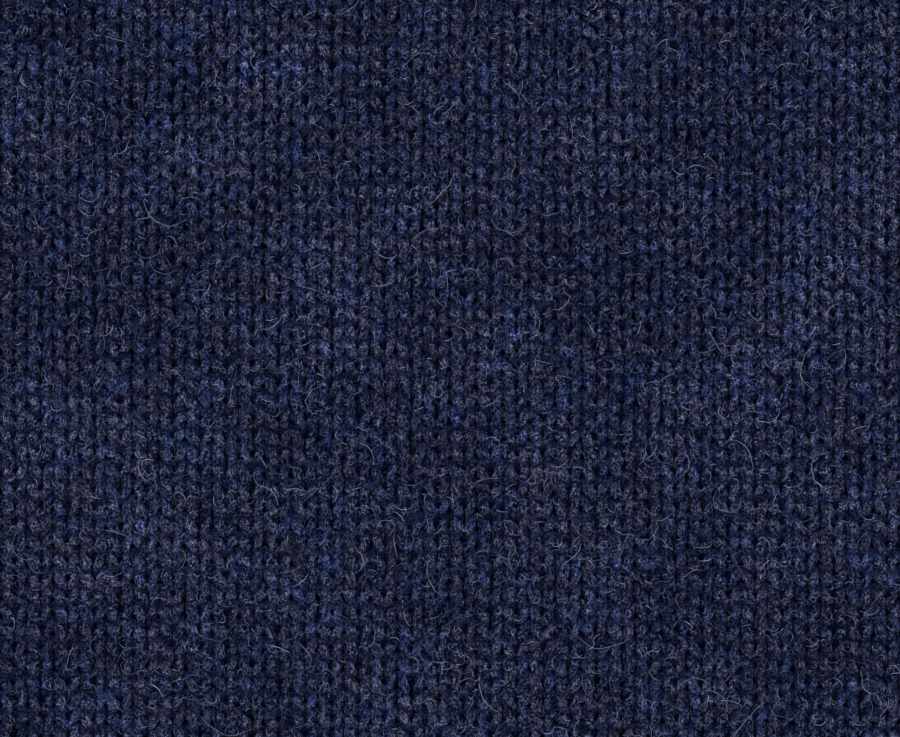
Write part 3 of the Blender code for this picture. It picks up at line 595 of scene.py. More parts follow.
# %% Places of the creases
CREASES = [  # start across, start up, end across, end up, half width, height
    (0.250, 0.452, 0.140, 0.372, 0.030, 0.0055),
    (0.262, 0.392, 0.178, 0.292, 0.026, 0.0040),
    (-0.246, 0.456, -0.128, 0.352, 0.032, 0.0048),
    (-0.262, 0.372, -0.190, 0.300, 0.024, 0.0034),
    (0.205, 0.585, 0.120, 0.505, 0.028, 0.0030),
    (-0.208, 0.600, -0.132, 0.528, 0.026, 0.0036),
    (0.215, 0.205, 0.130, 0.150, 0.030, 0.0036),
    (-0.222, 0.240, -0.120, 0.165, 0.034, 0.0042),
    (-0.060, 0.128, 0.045, 0.150, 0.026, 0.0026),
    (0.268, 0.440, 0.372, 0.452, 0.028, 0.0058),
    (0.318, 0.388, 0.420, 0.392, 0.026, 0.0046),
    (0.392, 0.318, 0.468, 0.338, 0.024, 0.0038),
    (0.448, 0.252, 0.540, 0.286, 0.024, 0.0036),
    (-0.270, 0.446, -0.356, 0.470, 0.030, 0.0052),
    (-0.326, 0.380, -0.442, 0.402, 0.027, 0.0050),
    (-0.420, 0.288, -0.492, 0.318, 0.023, 0.0034),
    (-0.486, 0.214, -0.560, 0.246, 0.022, 0.0040),
    (0.262, 0.600, 0.352, 0.520, 0.026, 0.0030),
    (-0.256, 0.612, -0.344, 0.548, 0.028, 0.0034),
]
print("creases:", len(CREASES))

# %% [markdown]
# ## Lines that everything is measured from
#
# A maker draws each seam and fold of a pattern as one smooth line through a few measured
# points. The same is done here, and a small class then reads points, directions and
# offsets at any distance along such a line.


# %% Smooth lines across the garment
def smooth_line(corners, steps=10):
    """Points on a Catmull-Rom line through the corners."""
    p = [np.array(c, float) for c in corners]
    p = [2 * p[0] - p[1], *p, 2 * p[-1] - p[-2]]
    line = []
    for a, b, c, d in zip(p, p[1:], p[2:], p[3:]):
        for t in np.arange(steps) / steps:
            cubic = (2 * a - 5 * b + 4 * c - d) * t**2 + (3 * b - a - 3 * c + d) * t**3
            line.append(0.5 * (2 * b + (c - a) * t + cubic))
    return np.array([*line, p[-2]])


class Line:
    """A line that can be read at distances along it."""

    def __init__(self, points):
        self.points = np.array(points, float)
        steps = np.linalg.norm(np.diff(self.points, axis=0), axis=1)
        self.along = np.concatenate([[0.0], np.cumsum(steps)])
        self.length = float(self.along[-1])

    def at(self, distance):
        return np.stack([np.interp(distance, self.along, p) for p in self.points.T], axis=-1)

    def direction(self, distance):
        ends = np.clip(np.add.outer([-0.002, 0.002], distance), 0.0, self.length)
        step = self.at(ends[1]) - self.at(ends[0])
        return step / np.linalg.norm(step, axis=-1, keepdims=True)

    def beside(self, distance, offset):
        """Points to the left of the line, or to its right where the offset is negative."""
        along = self.direction(distance)
        return self.at(distance) + offset * np.stack([-along[..., 1], along[..., 0]], axis=-1)

    def across_at(self, height):
        return np.interp(height, self.points[:, 1], self.points[:, 0])


SIDE = Line(smooth_line(SIDE_LINE))
print(f"the side is {SIDE.length * 1000:.0f} mm long")

# %% Seams and folds
SHOULDER = Line([(HALF_NECK, NECK_HEIGHT), (HALF_SHOULDERS, SHOULDER_TIP_HEIGHT)])
COLLAR_FOLD = Line(smooth_line(COLLAR_SIDE))
ARMHOLE_SEAM = Line(smooth_line(ARMHOLE))
OVERARM_FOLD = Line(smooth_line(OVERARM))
FRONT_NECK_SEAM = Line(smooth_line(FRONT_NECK))
BACK_NECK_SEAM = Line(smooth_line(BACK_NECK))
ARM = OVERARM_FOLD.direction(OVERARM_FOLD.length)
ARM_ACROSS = np.array([ARM[1], -ARM[0]])  # towards the body
SLEEVE_END_OUTER = OVERARM_FOLD.points[-1]
SLEEVE_END_INNER = SLEEVE_END_OUTER + SLEEVE_END_WIDTH * ARM_ACROSS
UNDERARM = [
    (HALF_CHEST, UNDERARM_HEIGHT), (0.334, 0.372), (0.402, 0.301), (0.462, 0.238),
    SLEEVE_END_INNER - 0.030 * ARM, SLEEVE_END_INNER,
]  # fmt: skip
UNDERARM_FOLD = Line(smooth_line(UNDERARM))
CUFF_TAPER = (SLEEVE_END_WIDTH - CUFF_WIDTH) / 2
CUFF_NARROWING = [(0.0, 0.0), (0.004, 0.0), (0.020, 0.8), (0.045, 1.0), (CUFF_LENGTH, 0.8)]


def cuff_corner(outer, along):
    """Points on the cuff's outer or inner fold, at distances past the sleeve's end."""
    start, side = (SLEEVE_END_OUTER, 1.0) if outer else (SLEEVE_END_INNER, -1.0)
    narrowing = CUFF_TAPER * np.interp(along, *zip(*CUFF_NARROWING))
    return start + np.multiply.outer(along, ARM) + side * np.multiply.outer(narrowing, ARM_ACROSS)


print(f"armhole seam {ARMHOLE_SEAM.length * 1000:.0f} mm, overarm {OVERARM_FOLD.length:.3f} m")

# %% [markdown]
# ## How far it is to a fold
#
# All folds of one half of the garment are cut into short straight pieces, and the nearest
# one is looked up for many points at once. The other half is its mirror image.

# %% The distance to the nearest fold
CUFF_STEPS = np.linspace(0.0, CUFF_LENGTH, 9)
FOLDS = [  # line, and 1 where the inside of the garment is to its left
    (SIDE.points, 1), (UNDERARM_FOLD.points, 1), (OVERARM_FOLD.points, -1),
    (SHOULDER.points, -1), (COLLAR_FOLD.points, 1),
    (cuff_corner(True, CUFF_STEPS), -1), (cuff_corner(False, CUFF_STEPS), 1),
]  # fmt: skip
PIECE_START = np.concatenate([line[:-1] for line, _ in FOLDS])
PIECE_STEP = np.concatenate([np.diff(line, axis=0) for line, _ in FOLDS])
PIECE_LENGTH = np.linalg.norm(PIECE_STEP, axis=1)
PIECE_SIDE = np.concatenate([[side] * (len(line) - 1) for line, side in FOLDS])
PIECE_INWARD = (PIECE_STEP[:, ::-1] * [-1, 1]) * (PIECE_SIDE / PIECE_LENGTH)[:, None]
ON_FOLD = 0.00001


def fold_distance(plan):
    """Distances from points to the nearest fold, and the ways inwards from there."""
    side = np.where(plan[:, 0] < 0, -1.0, 1.0)
    away = np.column_stack([np.abs(plan[:, 0]), plan[:, 1]])[:, None] - PIECE_START
    t = np.clip((away * PIECE_STEP).sum(axis=2) / PIECE_LENGTH**2, 0.0, 1.0)
    offset = away - t[..., None] * PIECE_STEP
    gaps = np.linalg.norm(offset, axis=2)
    nearest = gaps.argmin(axis=1)
    rows = np.arange(len(plan))
    gap = gaps[rows, nearest]
    inward = offset[rows, nearest] / np.maximum(gap, ON_FOLD)[:, None]
    for k in np.flatnonzero(gap <= ON_FOLD):
        inward[k] = PIECE_INWARD[gaps[k] < 2 * ON_FOLD].mean(axis=0)
    inward /= np.maximum(np.linalg.norm(inward, axis=1), 1e-9)[:, None]
    return gap, inward * np.column_stack([side, np.ones(len(plan))])


print("folds are made of", len(PIECE_START), "straight pieces")

# %% [markdown]
# ## Creases, rolls and a slight unevenness
#
# Each crease is a soft ridge between two points, highest in its middle. They run down from
# the underarms and across the elbows, where a sweater that was worn bends, and no two are
# alike. Over all of the cloth go ripples of a fraction of a millimetre, so that light
# never falls on it evenly. They stay off the cloth under the camera.


# %% Soft steps and ridges
def smooth_step(t):
    t = np.clip(t, 0.0, 1.0)
    return t * t * (3 - 2 * t)


def bell(t):
    return np.where(np.abs(t) < 1, (1 - t * t) ** 2, 0.0)


print("half way up a step and down a ridge:", float(smooth_step(0.5)), float(bell(0.5)))

# %% Height of the upper layer
HEM_ROLL = (0.0034, 0.091, 0.034)  # height, distance above the hem, reach
CUFF_ROLL = (0.0030, 0.022, 0.028)  # height, distance above the cuff, reach
RIPPLES = [  # waves on each metre across and up, shift, height
    (17.0, 9.0, 0.3, 0.00022),
    (-11.0, 23.0, 1.9, 0.00020),
    (31.0, -14.0, 4.1, 0.00013),
    (-8.0, -37.0, 2.6, 0.00011),
]
PATCH_COLUMNS = 38
PATCH_ROWS = 46
PATCH_HALF_WIDTH = PATCH_COLUMNS * WALE / 2
PATCH_HALF_HEIGHT = PATCH_ROWS * COURSE / 2


def beyond_patch(plan, start, margin):
    """0 up to start outside the knitted patch, and 1 past the margin that follows."""
    out_x = np.abs(plan[:, 0]) - PATCH_HALF_WIDTH
    out_y = np.abs(plan[:, 1] - VIEW_UP) - PATCH_HALF_HEIGHT
    return smooth_step((np.maximum(out_x, out_y) - start) / margin)


def upper_lift(plan, distance):
    """How far the upper layer stands above its flat height."""
    x, y = plan.T
    lift = np.zeros(len(plan))
    for x0, y0, x1, y1, half_width, height in CREASES:
        run = np.array([x1 - x0, y1 - y0])
        length = np.linalg.norm(run)
        across = ((x - x0) * run[1] - (y - y0) * run[0]) / length
        t = ((x - x0) * run[0] + (y - y0) * run[1]) / length**2
        lift += height * bell(across / half_width) * bell((t - 0.5) / 0.7)
    sideways = (np.abs(x) - ZIP_RIDGE_FLAT) / (ZIP_RIDGE_REACH - ZIP_RIDGE_FLAT)
    below = (ZIP_RIDGE_START - y) / ZIP_RIDGE_FADE
    lift += ZIP_LIFT * (1 - smooth_step(sideways)) * (1 - smooth_step(below))
    height, up, reach = HEM_ROLL
    on_body = (np.abs(x) < HALF_CHEST) & (y < UNDERARM_HEIGHT)
    lift += np.where(on_body, height * bell((y - up) / reach), 0.0)
    height, up, reach = CUFF_ROLL
    above = -((np.column_stack([np.abs(x), y]) - SLEEVE_END_OUTER) @ ARM)
    lift += np.where(np.abs(x) > HALF_CHEST, height * bell((above - up) / reach), 0.0)
    clear = beyond_patch(plan, 0.0, 0.030) * smooth_step(sideways)
    for wave_x, wave_y, shift, height in RIPPLES:
        lift += clear * height * np.sin(TURN * (wave_x * x + wave_y * y) + shift)
    return lift * smooth_step((distance - 0.5 * FOLD_RADIUS) / LIFT_REACH)


print(f"highest crease {max(crease[-1] for crease in CREASES) * 1000:.1f} mm")

# %% The two faces of the wall
PATCH_DIP = 0.0015  # the wall sinks this far under the knitted loops
DIP_EDGE = 0.0040


def cloth(plan, upper, sewn=0.0, rib=0.0):
    """Outer and inner points of the wall above points of the plan.

    sewn is the gap at a seam that runs along the fold, and rib how far a rib stands out.
    """
    plan = np.asarray(plan, float)
    distance, inward = fold_distance(plan)
    lean = 1.0 - np.minimum(1.0, distance / FOLD_RADIUS)
    rise = np.sqrt(1.0 - lean * lean)
    outer_z = sewn / 2 + (FOLD_RADIUS - sewn / 2) * rise
    inner_z = sewn / 2 + (FOLD_RADIUS - WALL - sewn / 2) * rise
    inner = plan + WALL * lean[:, None] * inward
    if upper:
        lift = upper_lift(plan, distance)
        lift -= MIDDLE_DROP * smooth_step((distance - FOLD_RADIUS) / DROP_REACH)
        dip = PATCH_DIP * (1 - beyond_patch(plan, -DIP_EDGE, DIP_EDGE))
        outer_z = FOLD_RADIUS + outer_z + lift + rib * rise - dip
        inner_z = FOLD_RADIUS + inner_z + lift
    else:
        outer_z = FOLD_RADIUS - outer_z
        inner_z = FOLD_RADIUS - inner_z
    outer = plan - (rib * lean)[:, None] * inward
    return (
        np.column_stack([outer[:, 0], outer[:, 1] - HEM_TO_MIDDLE, outer_z]),
        np.column_stack([inner[:, 0], inner[:, 1] - HEM_TO_MIDDLE, inner_z]),
    )


top, _ = cloth([(0.10, 0.330), (0.0, VIEW_UP)], True)
print("height of the cloth beside and in the patch:", top[:, 2].round(5))

# %% [markdown]
# ## A wall of cloth
#
# Each piece is a grid of points in two layers, closed by a rim all round. The grid also
# carries the stitches as a UV map: one unit across is one wale and one unit up is one
# course, so that columns of stitches follow the sleeve and the collar round.


# %% Join grids into one sheet
def weld_grids(patches):
    """Points of both layers, faces and stitches of patches that are joined where they meet.

    A patch is (outer grid, inner grid, stitch grid).
    """
    numbers, outer, inner, faces, stitches = {}, [], [], [], []
    for grid_out, grid_in, grid_stitch in patches:
        shape = grid_out.shape[:2]
        named = np.empty(shape, int)
        keys = np.round(np.concatenate([grid_out, grid_in], axis=2), 6) + 0.0
        for place in np.ndindex(shape):
            key = tuple(keys[place])
            if key not in numbers:
                numbers[key] = len(outer)
                outer.append(grid_out[place])
                inner.append(grid_in[place])
            named[place] = numbers[key]
        for i, j in np.ndindex(shape[0] - 1, shape[1] - 1):
            face, stitch = [], []
            for place in ((i, j), (i, j + 1), (i + 1, j + 1), (i + 1, j)):
                if named[place] not in face:
                    face.append(int(named[place]))
                    stitch.append(tuple(grid_stitch[place]))
            if len(face) > 2:
                faces.append(face)
                stitches.append(stitch)
    return outer, inner, faces, stitches


print("points are joined that agree to a thousandth of a millimetre")

# %% Close the sheet into a wall
SHARP_WALL = math.radians(55)  # edges that turn further than this stay sharp


def say_size(piece):
    triangles = sum(len(face.vertices) - 2 for face in piece.data.polygons)
    print(f"{piece.name}: {triangles} triangles")


def add_wall(name, patches, material):
    """A closed wall: the sheet's two layers, with a rim along every open edge."""
    outer, inner, faces, stitches = weld_grids(patches)
    count = len(outer)
    edges = {}
    for face, stitch in zip(faces, stitches):
        for k in range(len(face)):
            after = (k + 1) % len(face)
            edges[face[k], face[after]] = (stitch[k], stitch[after])
    all_faces = [*faces, *([n + count for n in reversed(face)] for face in faces)]
    all_stitches = [*stitches, *(stitch[::-1] for stitch in stitches)]
    for (a, b), (at_a, at_b) in edges.items():
        if (b, a) not in edges:
            all_faces.append([b, a, a + count, b + count])
            all_stitches.append([at_b, at_a, at_a, at_b])
    mesh = bpy.data.meshes.new(name)
    mesh.from_pydata([tuple(p) for p in (*outer, *inner)], [], all_faces)
    layer = mesh.uv_layers.new(name="stitches")
    layer.data.foreach_set("uv", [c for stitch in all_stitches for place in stitch for c in place])
    shell = bmesh.new()
    shell.from_mesh(mesh)
    bmesh.ops.recalc_face_normals(shell, faces=shell.faces)
    shell.to_mesh(mesh)
    shell.free()
    mesh.shade_smooth()
    mesh.set_sharp_from_angle(angle=SHARP_WALL)
    mesh.materials.append(material)
    piece = add_object(name, mesh)
    say_size(piece)
    return piece


print("a wall is", WALL * 1000, "mm thick")


# %% Areas and layers of a grid
def plan_area(grid):
    """The area of a grid of plan points."""
    a, b, c, d = grid[:-1, :-1], grid[:-1, 1:], grid[1:, 1:], grid[1:, :-1]
    first, second = c - a, d - b
    return float(np.abs(first[..., 0] * second[..., 1] - first[..., 1] * second[..., 0]).sum() / 2)


def grid_of(plan, upper, stitch, **sizes):
    """Both layers over a grid of plan points. A size may be a grid too."""
    shape = plan.shape[:2]
    sizes = {k: v.reshape(-1) if isinstance(v, np.ndarray) else v for k, v in sizes.items()}
    outer, inner = cloth(plan.reshape(-1, 2), upper, **sizes)
    return outer.reshape(*shape, 3), inner.reshape(*shape, 3), stitch


UNIT = np.array([[(0, 0), (1, 0)], [(0, 1), (1, 1)]])
print("area of a square of one metre:", plan_area(UNIT))

# %% [markdown]
# ## Front and back
#
# Both are drawn in two halves, row by row from the ribbed hem up. Up to the underarm a row
# runs straight out to the side. Above it, a row starts on the slit or the neck's seam and
# ends on the armhole's seam, and the last one is the shoulder.

# %% Draw the front and the back
FOLD_EDGE = [0.0, 0.0003, 0.0009, 0.0018, 0.0028, 0.0040]
EDGE = [*FOLD_EDGE, 0.0065, 0.0110, 0.0170, 0.0250]
LOW_ROWS = 46
PATCH_EDGE_ROWS = [
    VIEW_UP + side * (PATCH_HALF_HEIGHT + step) for side in (-1, 1) for step in (-DIP_EDGE, 0.0)
]
PATCH_EDGE_COLUMNS = [PATCH_HALF_WIDTH - DIP_EDGE, PATCH_HALF_WIDTH]


def body_plan(upper):
    """The plan of half a panel: rows of points from the middle out."""
    low = np.linspace(HEM_RIB + SEAM / 2, UNDERARM_HEIGHT - SEAM, LOW_ROWS)
    low = np.unique([*low, low[0] + 0.0015, *PATCH_EDGE_ROWS])
    inner = [(0.0, y) for y in low]
    outer = [(SIDE.across_at(y), y) for y in low]
    if upper:
        neck = FRONT_NECK_SEAM
        centre = [(0.0, SLIT_END_HEIGHT - 0.010), (0.0, SLIT_END_HEIGHT - 0.001)]
        centre += [(0.0, SLIT_END_HEIGHT)]
        turns = np.linspace(0.25, 1.0, 4) * TURN / 4
        centre += [
            (SLIT_HALF_WIDTH * math.sin(t), SLIT_END_HEIGHT + SLIT_END_ROUND * (1 - math.cos(t)))
            for t in turns
        ]
        start = centre[-1][1]
        centre += [(SLIT_HALF_WIDTH, y) for y in np.linspace(start, FRONT_NECK_HEIGHT, 20)[1:-1]]
    else:
        neck = BACK_NECK_SEAM
        centre = [(0.0, y) for y in np.linspace(UNDERARM_HEIGHT, BACK_NECK_HEIGHT, 20)[1:-1]]
    into_fold = neck.length - np.array(FOLD_EDGE[:0:-1])
    neck_steps = np.concatenate([np.linspace(0.0, into_fold[0], 18)[:-1], into_fold])
    inner += [*centre, *neck.beside(neck_steps, -SEAM / 2)]
    out_of_fold = np.array(FOLD_EDGE[1:])
    into_fold = ARMHOLE_SEAM.length - out_of_fold[::-1]
    high = len(centre) + len(neck_steps) - 2 * len(out_of_fold)
    between = np.linspace(out_of_fold[-1], into_fold[0], high + 2)[1:-1]
    arm_steps = np.concatenate([out_of_fold, between, into_fold])
    outer += list(ARMHOLE_SEAM.beside(arm_steps, SEAM / 2))
    inner.append(SHOULDER.at(SEAM / 2))
    outer.append(SHOULDER.at(SHOULDER.length - SEAM / 2))
    inner, outer = np.array(inner), np.array(outer)
    length = np.linalg.norm(outer - inner, axis=1)
    near = [0.0, 0.0016, 0.012]
    rows = []
    for a, b, run in zip(inner, outer, length):
        between = np.linspace(near[-1], run - EDGE[-1], 25)[1:-1]
        if a[1] < UNDERARM_HEIGHT:
            for stop in PATCH_EDGE_COLUMNS:
                between[np.abs(between - stop).argmin()] = stop
        stops = np.array([*near, *between, *(run - e for e in reversed(EDGE))])
        rows.append(a + (b - a) * (stops / run)[:, None])
    return np.array(rows)


print("rows of half the front, points in each:", body_plan(True).shape[:2])


# %% Build the front or the back
def build_body(name, upper, material):
    plan = body_plan(upper)
    patches = []
    for side in (1, -1):
        half = plan * [side, 1] if side > 0 else (plan * [side, 1])[:, ::-1]
        patches.append(grid_of(half, upper, half / [WALE, COURSE], sewn=SEAM))
    piece = add_wall(name, patches, material)
    return piece, 2 * plan_area(plan)


print(f"half of the back covers {plan_area(body_plan(False)):.3f} square metres")

# %% [markdown]
# ## Ribbed hem, cuffs and collar
#
# A rib is made of two columns of plain stitches that stand forward, and one column of
# turned stitches that sinks back between them. The bands are one grid each, with nine
# points across every rib. Their stitches are counted so that each rib has its three wales.

# %% The shape of the ribs
RIB_SHAPE = [  # place across a rib, share of its height
    (-0.50, 0.00), (-0.40, 0.10), (-0.31, 0.62), (-0.20, 0.96), (-0.04, 0.86), (0.0, 0.80),
    (0.04, 0.86), (0.20, 0.96), (0.31, 0.62), (0.40, 0.10),
]  # fmt: skip


def ribbed(start, end, ribs):
    """Places across a band, the ribs' height there, and the count of wales."""
    pitch = (end - start) / ribs
    places = [
        (start + (k + 0.5 + shift) * pitch, RIB_HEIGHT * high, WALES_IN_RIB * (k + 0.5 + shift))
        for k in range(ribs)
        for shift, high in RIB_SHAPE
    ]
    places.append((end, 0.0, WALES_IN_RIB * ribs))
    return np.array(places).T


def folded_row(width, ribs, plain=0):
    """A row of a band from fold to fold, with ribs or with so many plain steps."""
    if ribs:
        place, high, wale = ribbed(FOLD_RADIUS, width - FOLD_RADIUS, ribs)
    else:
        place = np.linspace(FOLD_RADIUS, width - FOLD_RADIUS, plain + 1)
        high, wale = np.zeros(len(place)), place / WALE
    rounding = np.array(FOLD_EDGE[:-1])
    before = (rounding - FOLD_RADIUS) / WALE
    place = np.concatenate([rounding, place, width - rounding[::-1]])
    high = np.concatenate([rounding * 0, high, rounding * 0])
    wale = np.concatenate([wale[0] + before, wale, wale[-1] - before[::-1]])
    return place, high, wale


print("points across the ribbed hem:", len(folded_row(2 * SIDE.across_at(0.0), HEM_RIBS)[0]))

# %% Build one half of the hem
BAND_EDGE = 0.0009


def build_hem(name, upper, material):
    heights = [0.0, BAND_EDGE, *np.linspace(0.004, HEM_RIB - 0.004, 9), HEM_RIB - BAND_EDGE]
    heights.append(HEM_RIB - SEAM / 2)
    plan, ribs, stitches = [], [], []
    for height in heights:
        half = SIDE.across_at(height)
        place, high, wale = folded_row(2 * half, HEM_RIBS if upper else 0, plain=60)
        plan.append(np.column_stack([place - half, np.full(len(place), height)]))
        ribs.append(high)
        stitches.append(np.column_stack([wale, np.full(len(place), height / COURSE)]))
    plan, ribs = np.array(plan), np.array(ribs)
    patch = grid_of(plan, upper, np.array(stitches), sewn=SEAM, rib=ribs)
    return add_wall(name, [patch], material), plan_area(plan)


print(f"the hem is {2 * SIDE.across_at(0.0) * 1000:.0f} mm wide at its edge")


# %% Close two layers into a tube
def tube_grid(top, bottom, mirrored):
    """One grid round a tube, from (plan, ribs, stitches) of its upper and lower layer.

    Both layers run from the inner fold to the outer one, and the lower one is walked back.
    """
    layers = []
    for (plan, ribs, stitches), upper in ((top, True), (bottom, False)):
        layers.append(grid_of(plan * [mirrored, 1], upper, stitches, rib=ribs))
    outer, inner, stitch = (
        np.concatenate([up, low[:, -2:0:-1], up[:, :1]], axis=1) for up, low in zip(*layers)
    )
    # The lower layer's wales go on counting from the upper layer's last one
    around, last = top[0].shape[1], top[2][:, -1:, 0]
    stitch[:, around:, 0] = 2 * last - stitch[:, around:, 0]
    if mirrored < 0:
        outer, inner, stitch = (grid[:, ::-1] for grid in (outer, inner, stitch))
    return outer, inner, stitch


print("a tube's stitches are counted all the way round")


# %% Build a cuff
def build_cuff(name, mirrored, material):
    layers = []
    alongs = [SEAM / 2, BAND_EDGE, *np.linspace(0.004, CUFF_LENGTH - 0.004, 9)]
    alongs += [CUFF_LENGTH - BAND_EDGE, CUFF_LENGTH]
    for ribs in (CUFF_RIBS, 0):
        plan, highs, stitches = [], [], []
        for along in alongs:
            inner, outer = cuff_corner(False, along), cuff_corner(True, along)
            width = np.linalg.norm(outer - inner)
            place, high, wale = folded_row(width, ribs, plain=24)
            plan.append(inner + (outer - inner) * (place / width)[:, None])
            highs.append(high)
            stitches.append(np.column_stack([wale, np.full(len(place), -along / COURSE)]))
        layers.append((np.array(plan), np.array(highs), np.array(stitches)))
    area = 2 * plan_area(layers[0][0])
    return add_wall(name, [tube_grid(*layers, mirrored)], material), area


print(f"a cuff is {CUFF_WIDTH * 1000:.0f} mm wide and {CUFF_LENGTH * 1000:.0f} mm long")

# %% [markdown]
# ## Sleeves
#
# A sleeve is a flattened tube. Its first ring follows the curve of the armhole and the
# others straighten out towards the cuff. The stitches run along the arm.

# %% Draw the sleeves
CAP_REACH = 0.40  # share of the sleeve over which the armhole's curve straightens out
SLEEVE_EDGE = [*FOLD_EDGE, 0.0065]
SLEEVE_RINGS = np.concatenate([np.linspace(0.0, 0.96, 50), [0.975, 0.990, 0.997, 1.0]])


def sleeve_point(t, s):
    """Points of the plan: t from armhole to cuff, s from the inner fold to the outer one."""
    inner = UNDERARM_FOLD.at(t * UNDERARM_FOLD.length)
    outer = OVERARM_FOLD.at(t * OVERARM_FOLD.length)
    first, last = ARMHOLE_SEAM.points[0], ARMHOLE_SEAM.points[-1]
    s = np.asarray(s)[:, None]
    curve = ARMHOLE_SEAM.at(s[:, 0] * ARMHOLE_SEAM.length) - ((1 - s) * first + s * last)
    return (1 - s) * inner + s * outer + max(0.0, 1 - t / CAP_REACH) ** 2 * curve


def build_sleeve(name, mirrored, material):
    plan, stitches = [], []
    for t in SLEEVE_RINGS:
        ends = sleeve_point(t, [0.0, 0.02, 0.98, 1.0])
        length = np.linalg.norm(ends[-1] - ends[0])
        rings = [ends[1] - ends[0], ends[3] - ends[2]]
        folds = [UNDERARM_FOLD, OVERARM_FOLD]
        slants = []
        for ring, fold in zip(rings, folds):
            along = fold.direction(t * fold.length)
            cross = abs(along[0] * ring[1] - along[1] * ring[0]) / np.linalg.norm(ring)
            slants.append(max(0.35, float(cross)))
        start = np.array(SLEEVE_EDGE) / slants[0] / length
        end = 1 - np.array(SLEEVE_EDGE[::-1]) / slants[1] / length
        shares = np.concatenate([start, np.linspace(start[-1], end[0], 22)[1:-1], end])
        row = sleeve_point(t, shares)
        if t == 0.0:
            row = ARMHOLE_SEAM.beside(shares * ARMHOLE_SEAM.length, -SEAM / 2)
            row[0], row[-1] = UNDERARM_FOLD.at(SEAM), OVERARM_FOLD.at(SEAM / 2)
        if t == 1.0:
            row = row - SEAM / 2 * ARM
        plan.append(row)
        up = -t * OVERARM_FOLD.length / COURSE
        across = shares * length / WALE
        stitches.append(np.column_stack([across, np.full(len(shares), up)]))
    plan, stitches = np.array(plan), np.array(stitches)
    layer = (plan, np.zeros(plan.shape[:2]), stitches)
    area = 2 * plan_area(plan)
    return add_wall(name, [tube_grid(layer, layer, mirrored)], material), area


print("rings of a sleeve:", len(SLEEVE_RINGS))

# %% [markdown]
# ## Collar
#
# One ribbed band that starts at the zip, goes round the back of the neck and comes back to
# the zip. Laid flat, its front half lies on its back half, and the inside of the back
# shows above the front's edge.

# %% Draw the collar
COLLAR_SHARES = [0.0, 0.012, *np.linspace(0.06, 0.94, 12), 0.988, 1.0]


def collar_layer(front, distance):
    """The plan over distances along the neck's seam, one row for each share of the height."""
    seam = FRONT_NECK_SEAM if front else BACK_NECK_SEAM
    middle, middle_up, bend = (
        (SLIT_HALF_WIDTH, COLLAR_FRONT_TOP, 2.2) if front else (0.0, COLLAR_BACK_TOP, 2.0)
    )
    across = distance / seam.length
    base = seam.beside(distance, SEAM / 2)
    top_x = middle + (HALF_COLLAR_TOP - middle) * across
    top_y = middle_up + (COLLAR_SIDE_HEIGHT - middle_up) * across**bend
    top = np.column_stack([top_x, top_y])
    rows = []
    for share in COLLAR_SHARES:
        row = (1 - share) * base + share * top
        fold_up = NECK_HEIGHT + SEAM / 2
        fold_up += (COLLAR_SIDE_HEIGHT - fold_up) * share
        on_fold = across == 1.0
        row[on_fold] = (COLLAR_FOLD.across_at(fold_up), fold_up)
        rows.append(row)
    return np.array(rows)


def build_collar(material):
    length = FRONT_NECK_SEAM.length
    place, high, wale = ribbed(0.0, length, COLLAR_RIBS)
    back_length = BACK_NECK_SEAM.length
    near_fold = back_length - np.array([0.0003, 0.0009, 0.0018, 0.0028, 0.0040, 0.0065])
    extra = length - np.array([0.0003, 0.0009, 0.0018, 0.0028])
    keep = place < length - 0.0040
    front = np.unique(np.concatenate([place[keep], extra, [length]]))
    ribs = np.interp(front, place, high) * smooth_step((length - front) / 0.006)
    wales = np.interp(front, place, wale)
    back = np.unique(np.concatenate([np.linspace(0, back_length - 0.011, 26), near_fold]))[::-1]
    back_wales = wales[-1] + (back_length - back) / WALE
    rows = len(COLLAR_SHARES)
    up = np.array(COLLAR_SHARES)[:, None] * (COLLAR_SIDE_HEIGHT - NECK_HEIGHT) / COURSE
    front_plan, back_plan = collar_layer(True, front), collar_layer(False, back)
    back_plan[:, -1, 0] = 0.0
    halves = []
    for side in (1, -1):
        grids = []
        for plan, upper, rib, count in (
            (front_plan, True, ribs, wales),
            (back_plan, False, np.zeros(len(back)), back_wales),
        ):
            count = np.broadcast_to(side * count, (rows, len(count)))
            stitch = np.stack([count, np.broadcast_to(up, count.shape)], axis=2)
            rib = np.broadcast_to(rib, count.shape).copy()
            grids.append(grid_of(plan * [side, 1], upper, stitch, rib=rib))
        half = [np.concatenate(pair, axis=1) for pair in zip(*grids)]
        halves.append(half if side > 0 else [grid[:, ::-1] for grid in half])
    area = 2 * (plan_area(front_plan) + plan_area(back_plan))
    return add_wall("collar_cloth", halves, material), area


print("rows up the collar:", len(COLLAR_SHARES))

# %% [markdown]
# ## The nine knitted pieces
#
# Each piece is built once, with what lies below it and the size that a maker would cut it
# to. At the end each piece's area is printed beside that size.

# %% Make the nine knitted pieces
SHELLS = [  # node, what rests below it, flat width and length, piece and its area
    ("back", ["floor"], (0.54, 0.617), build_body("back_cloth", False, KNIT)),
    ("front", ["back"], (0.54, 0.617), build_body("front_cloth", True, KNIT)),
    ("sleeve_left", ["floor"], (0.36, 0.58), build_sleeve("sleeve_left_cloth", 1, KNIT)),
    ("sleeve_right", ["floor"], (0.36, 0.58), build_sleeve("sleeve_right_cloth", -1, KNIT)),
    ("rib_hem_back", ["floor"], (0.49, 0.065), build_hem("hem_back_cloth", False, RIB)),
    ("rib_hem_front", ["rib_hem_back"], (0.49, 0.065), build_hem("hem_front_cloth", True, RIB)),
    ("cuff_left", ["floor"], (0.196, 0.070), build_cuff("cuff_left_cloth", 1, RIB)),
    ("cuff_right", ["floor"], (0.196, 0.070), build_cuff("cuff_right_cloth", -1, RIB)),
    ("collar", ["floor"], (0.42, 0.095), build_collar(RIB)),
]
print("knitted pieces:", len(SHELLS))

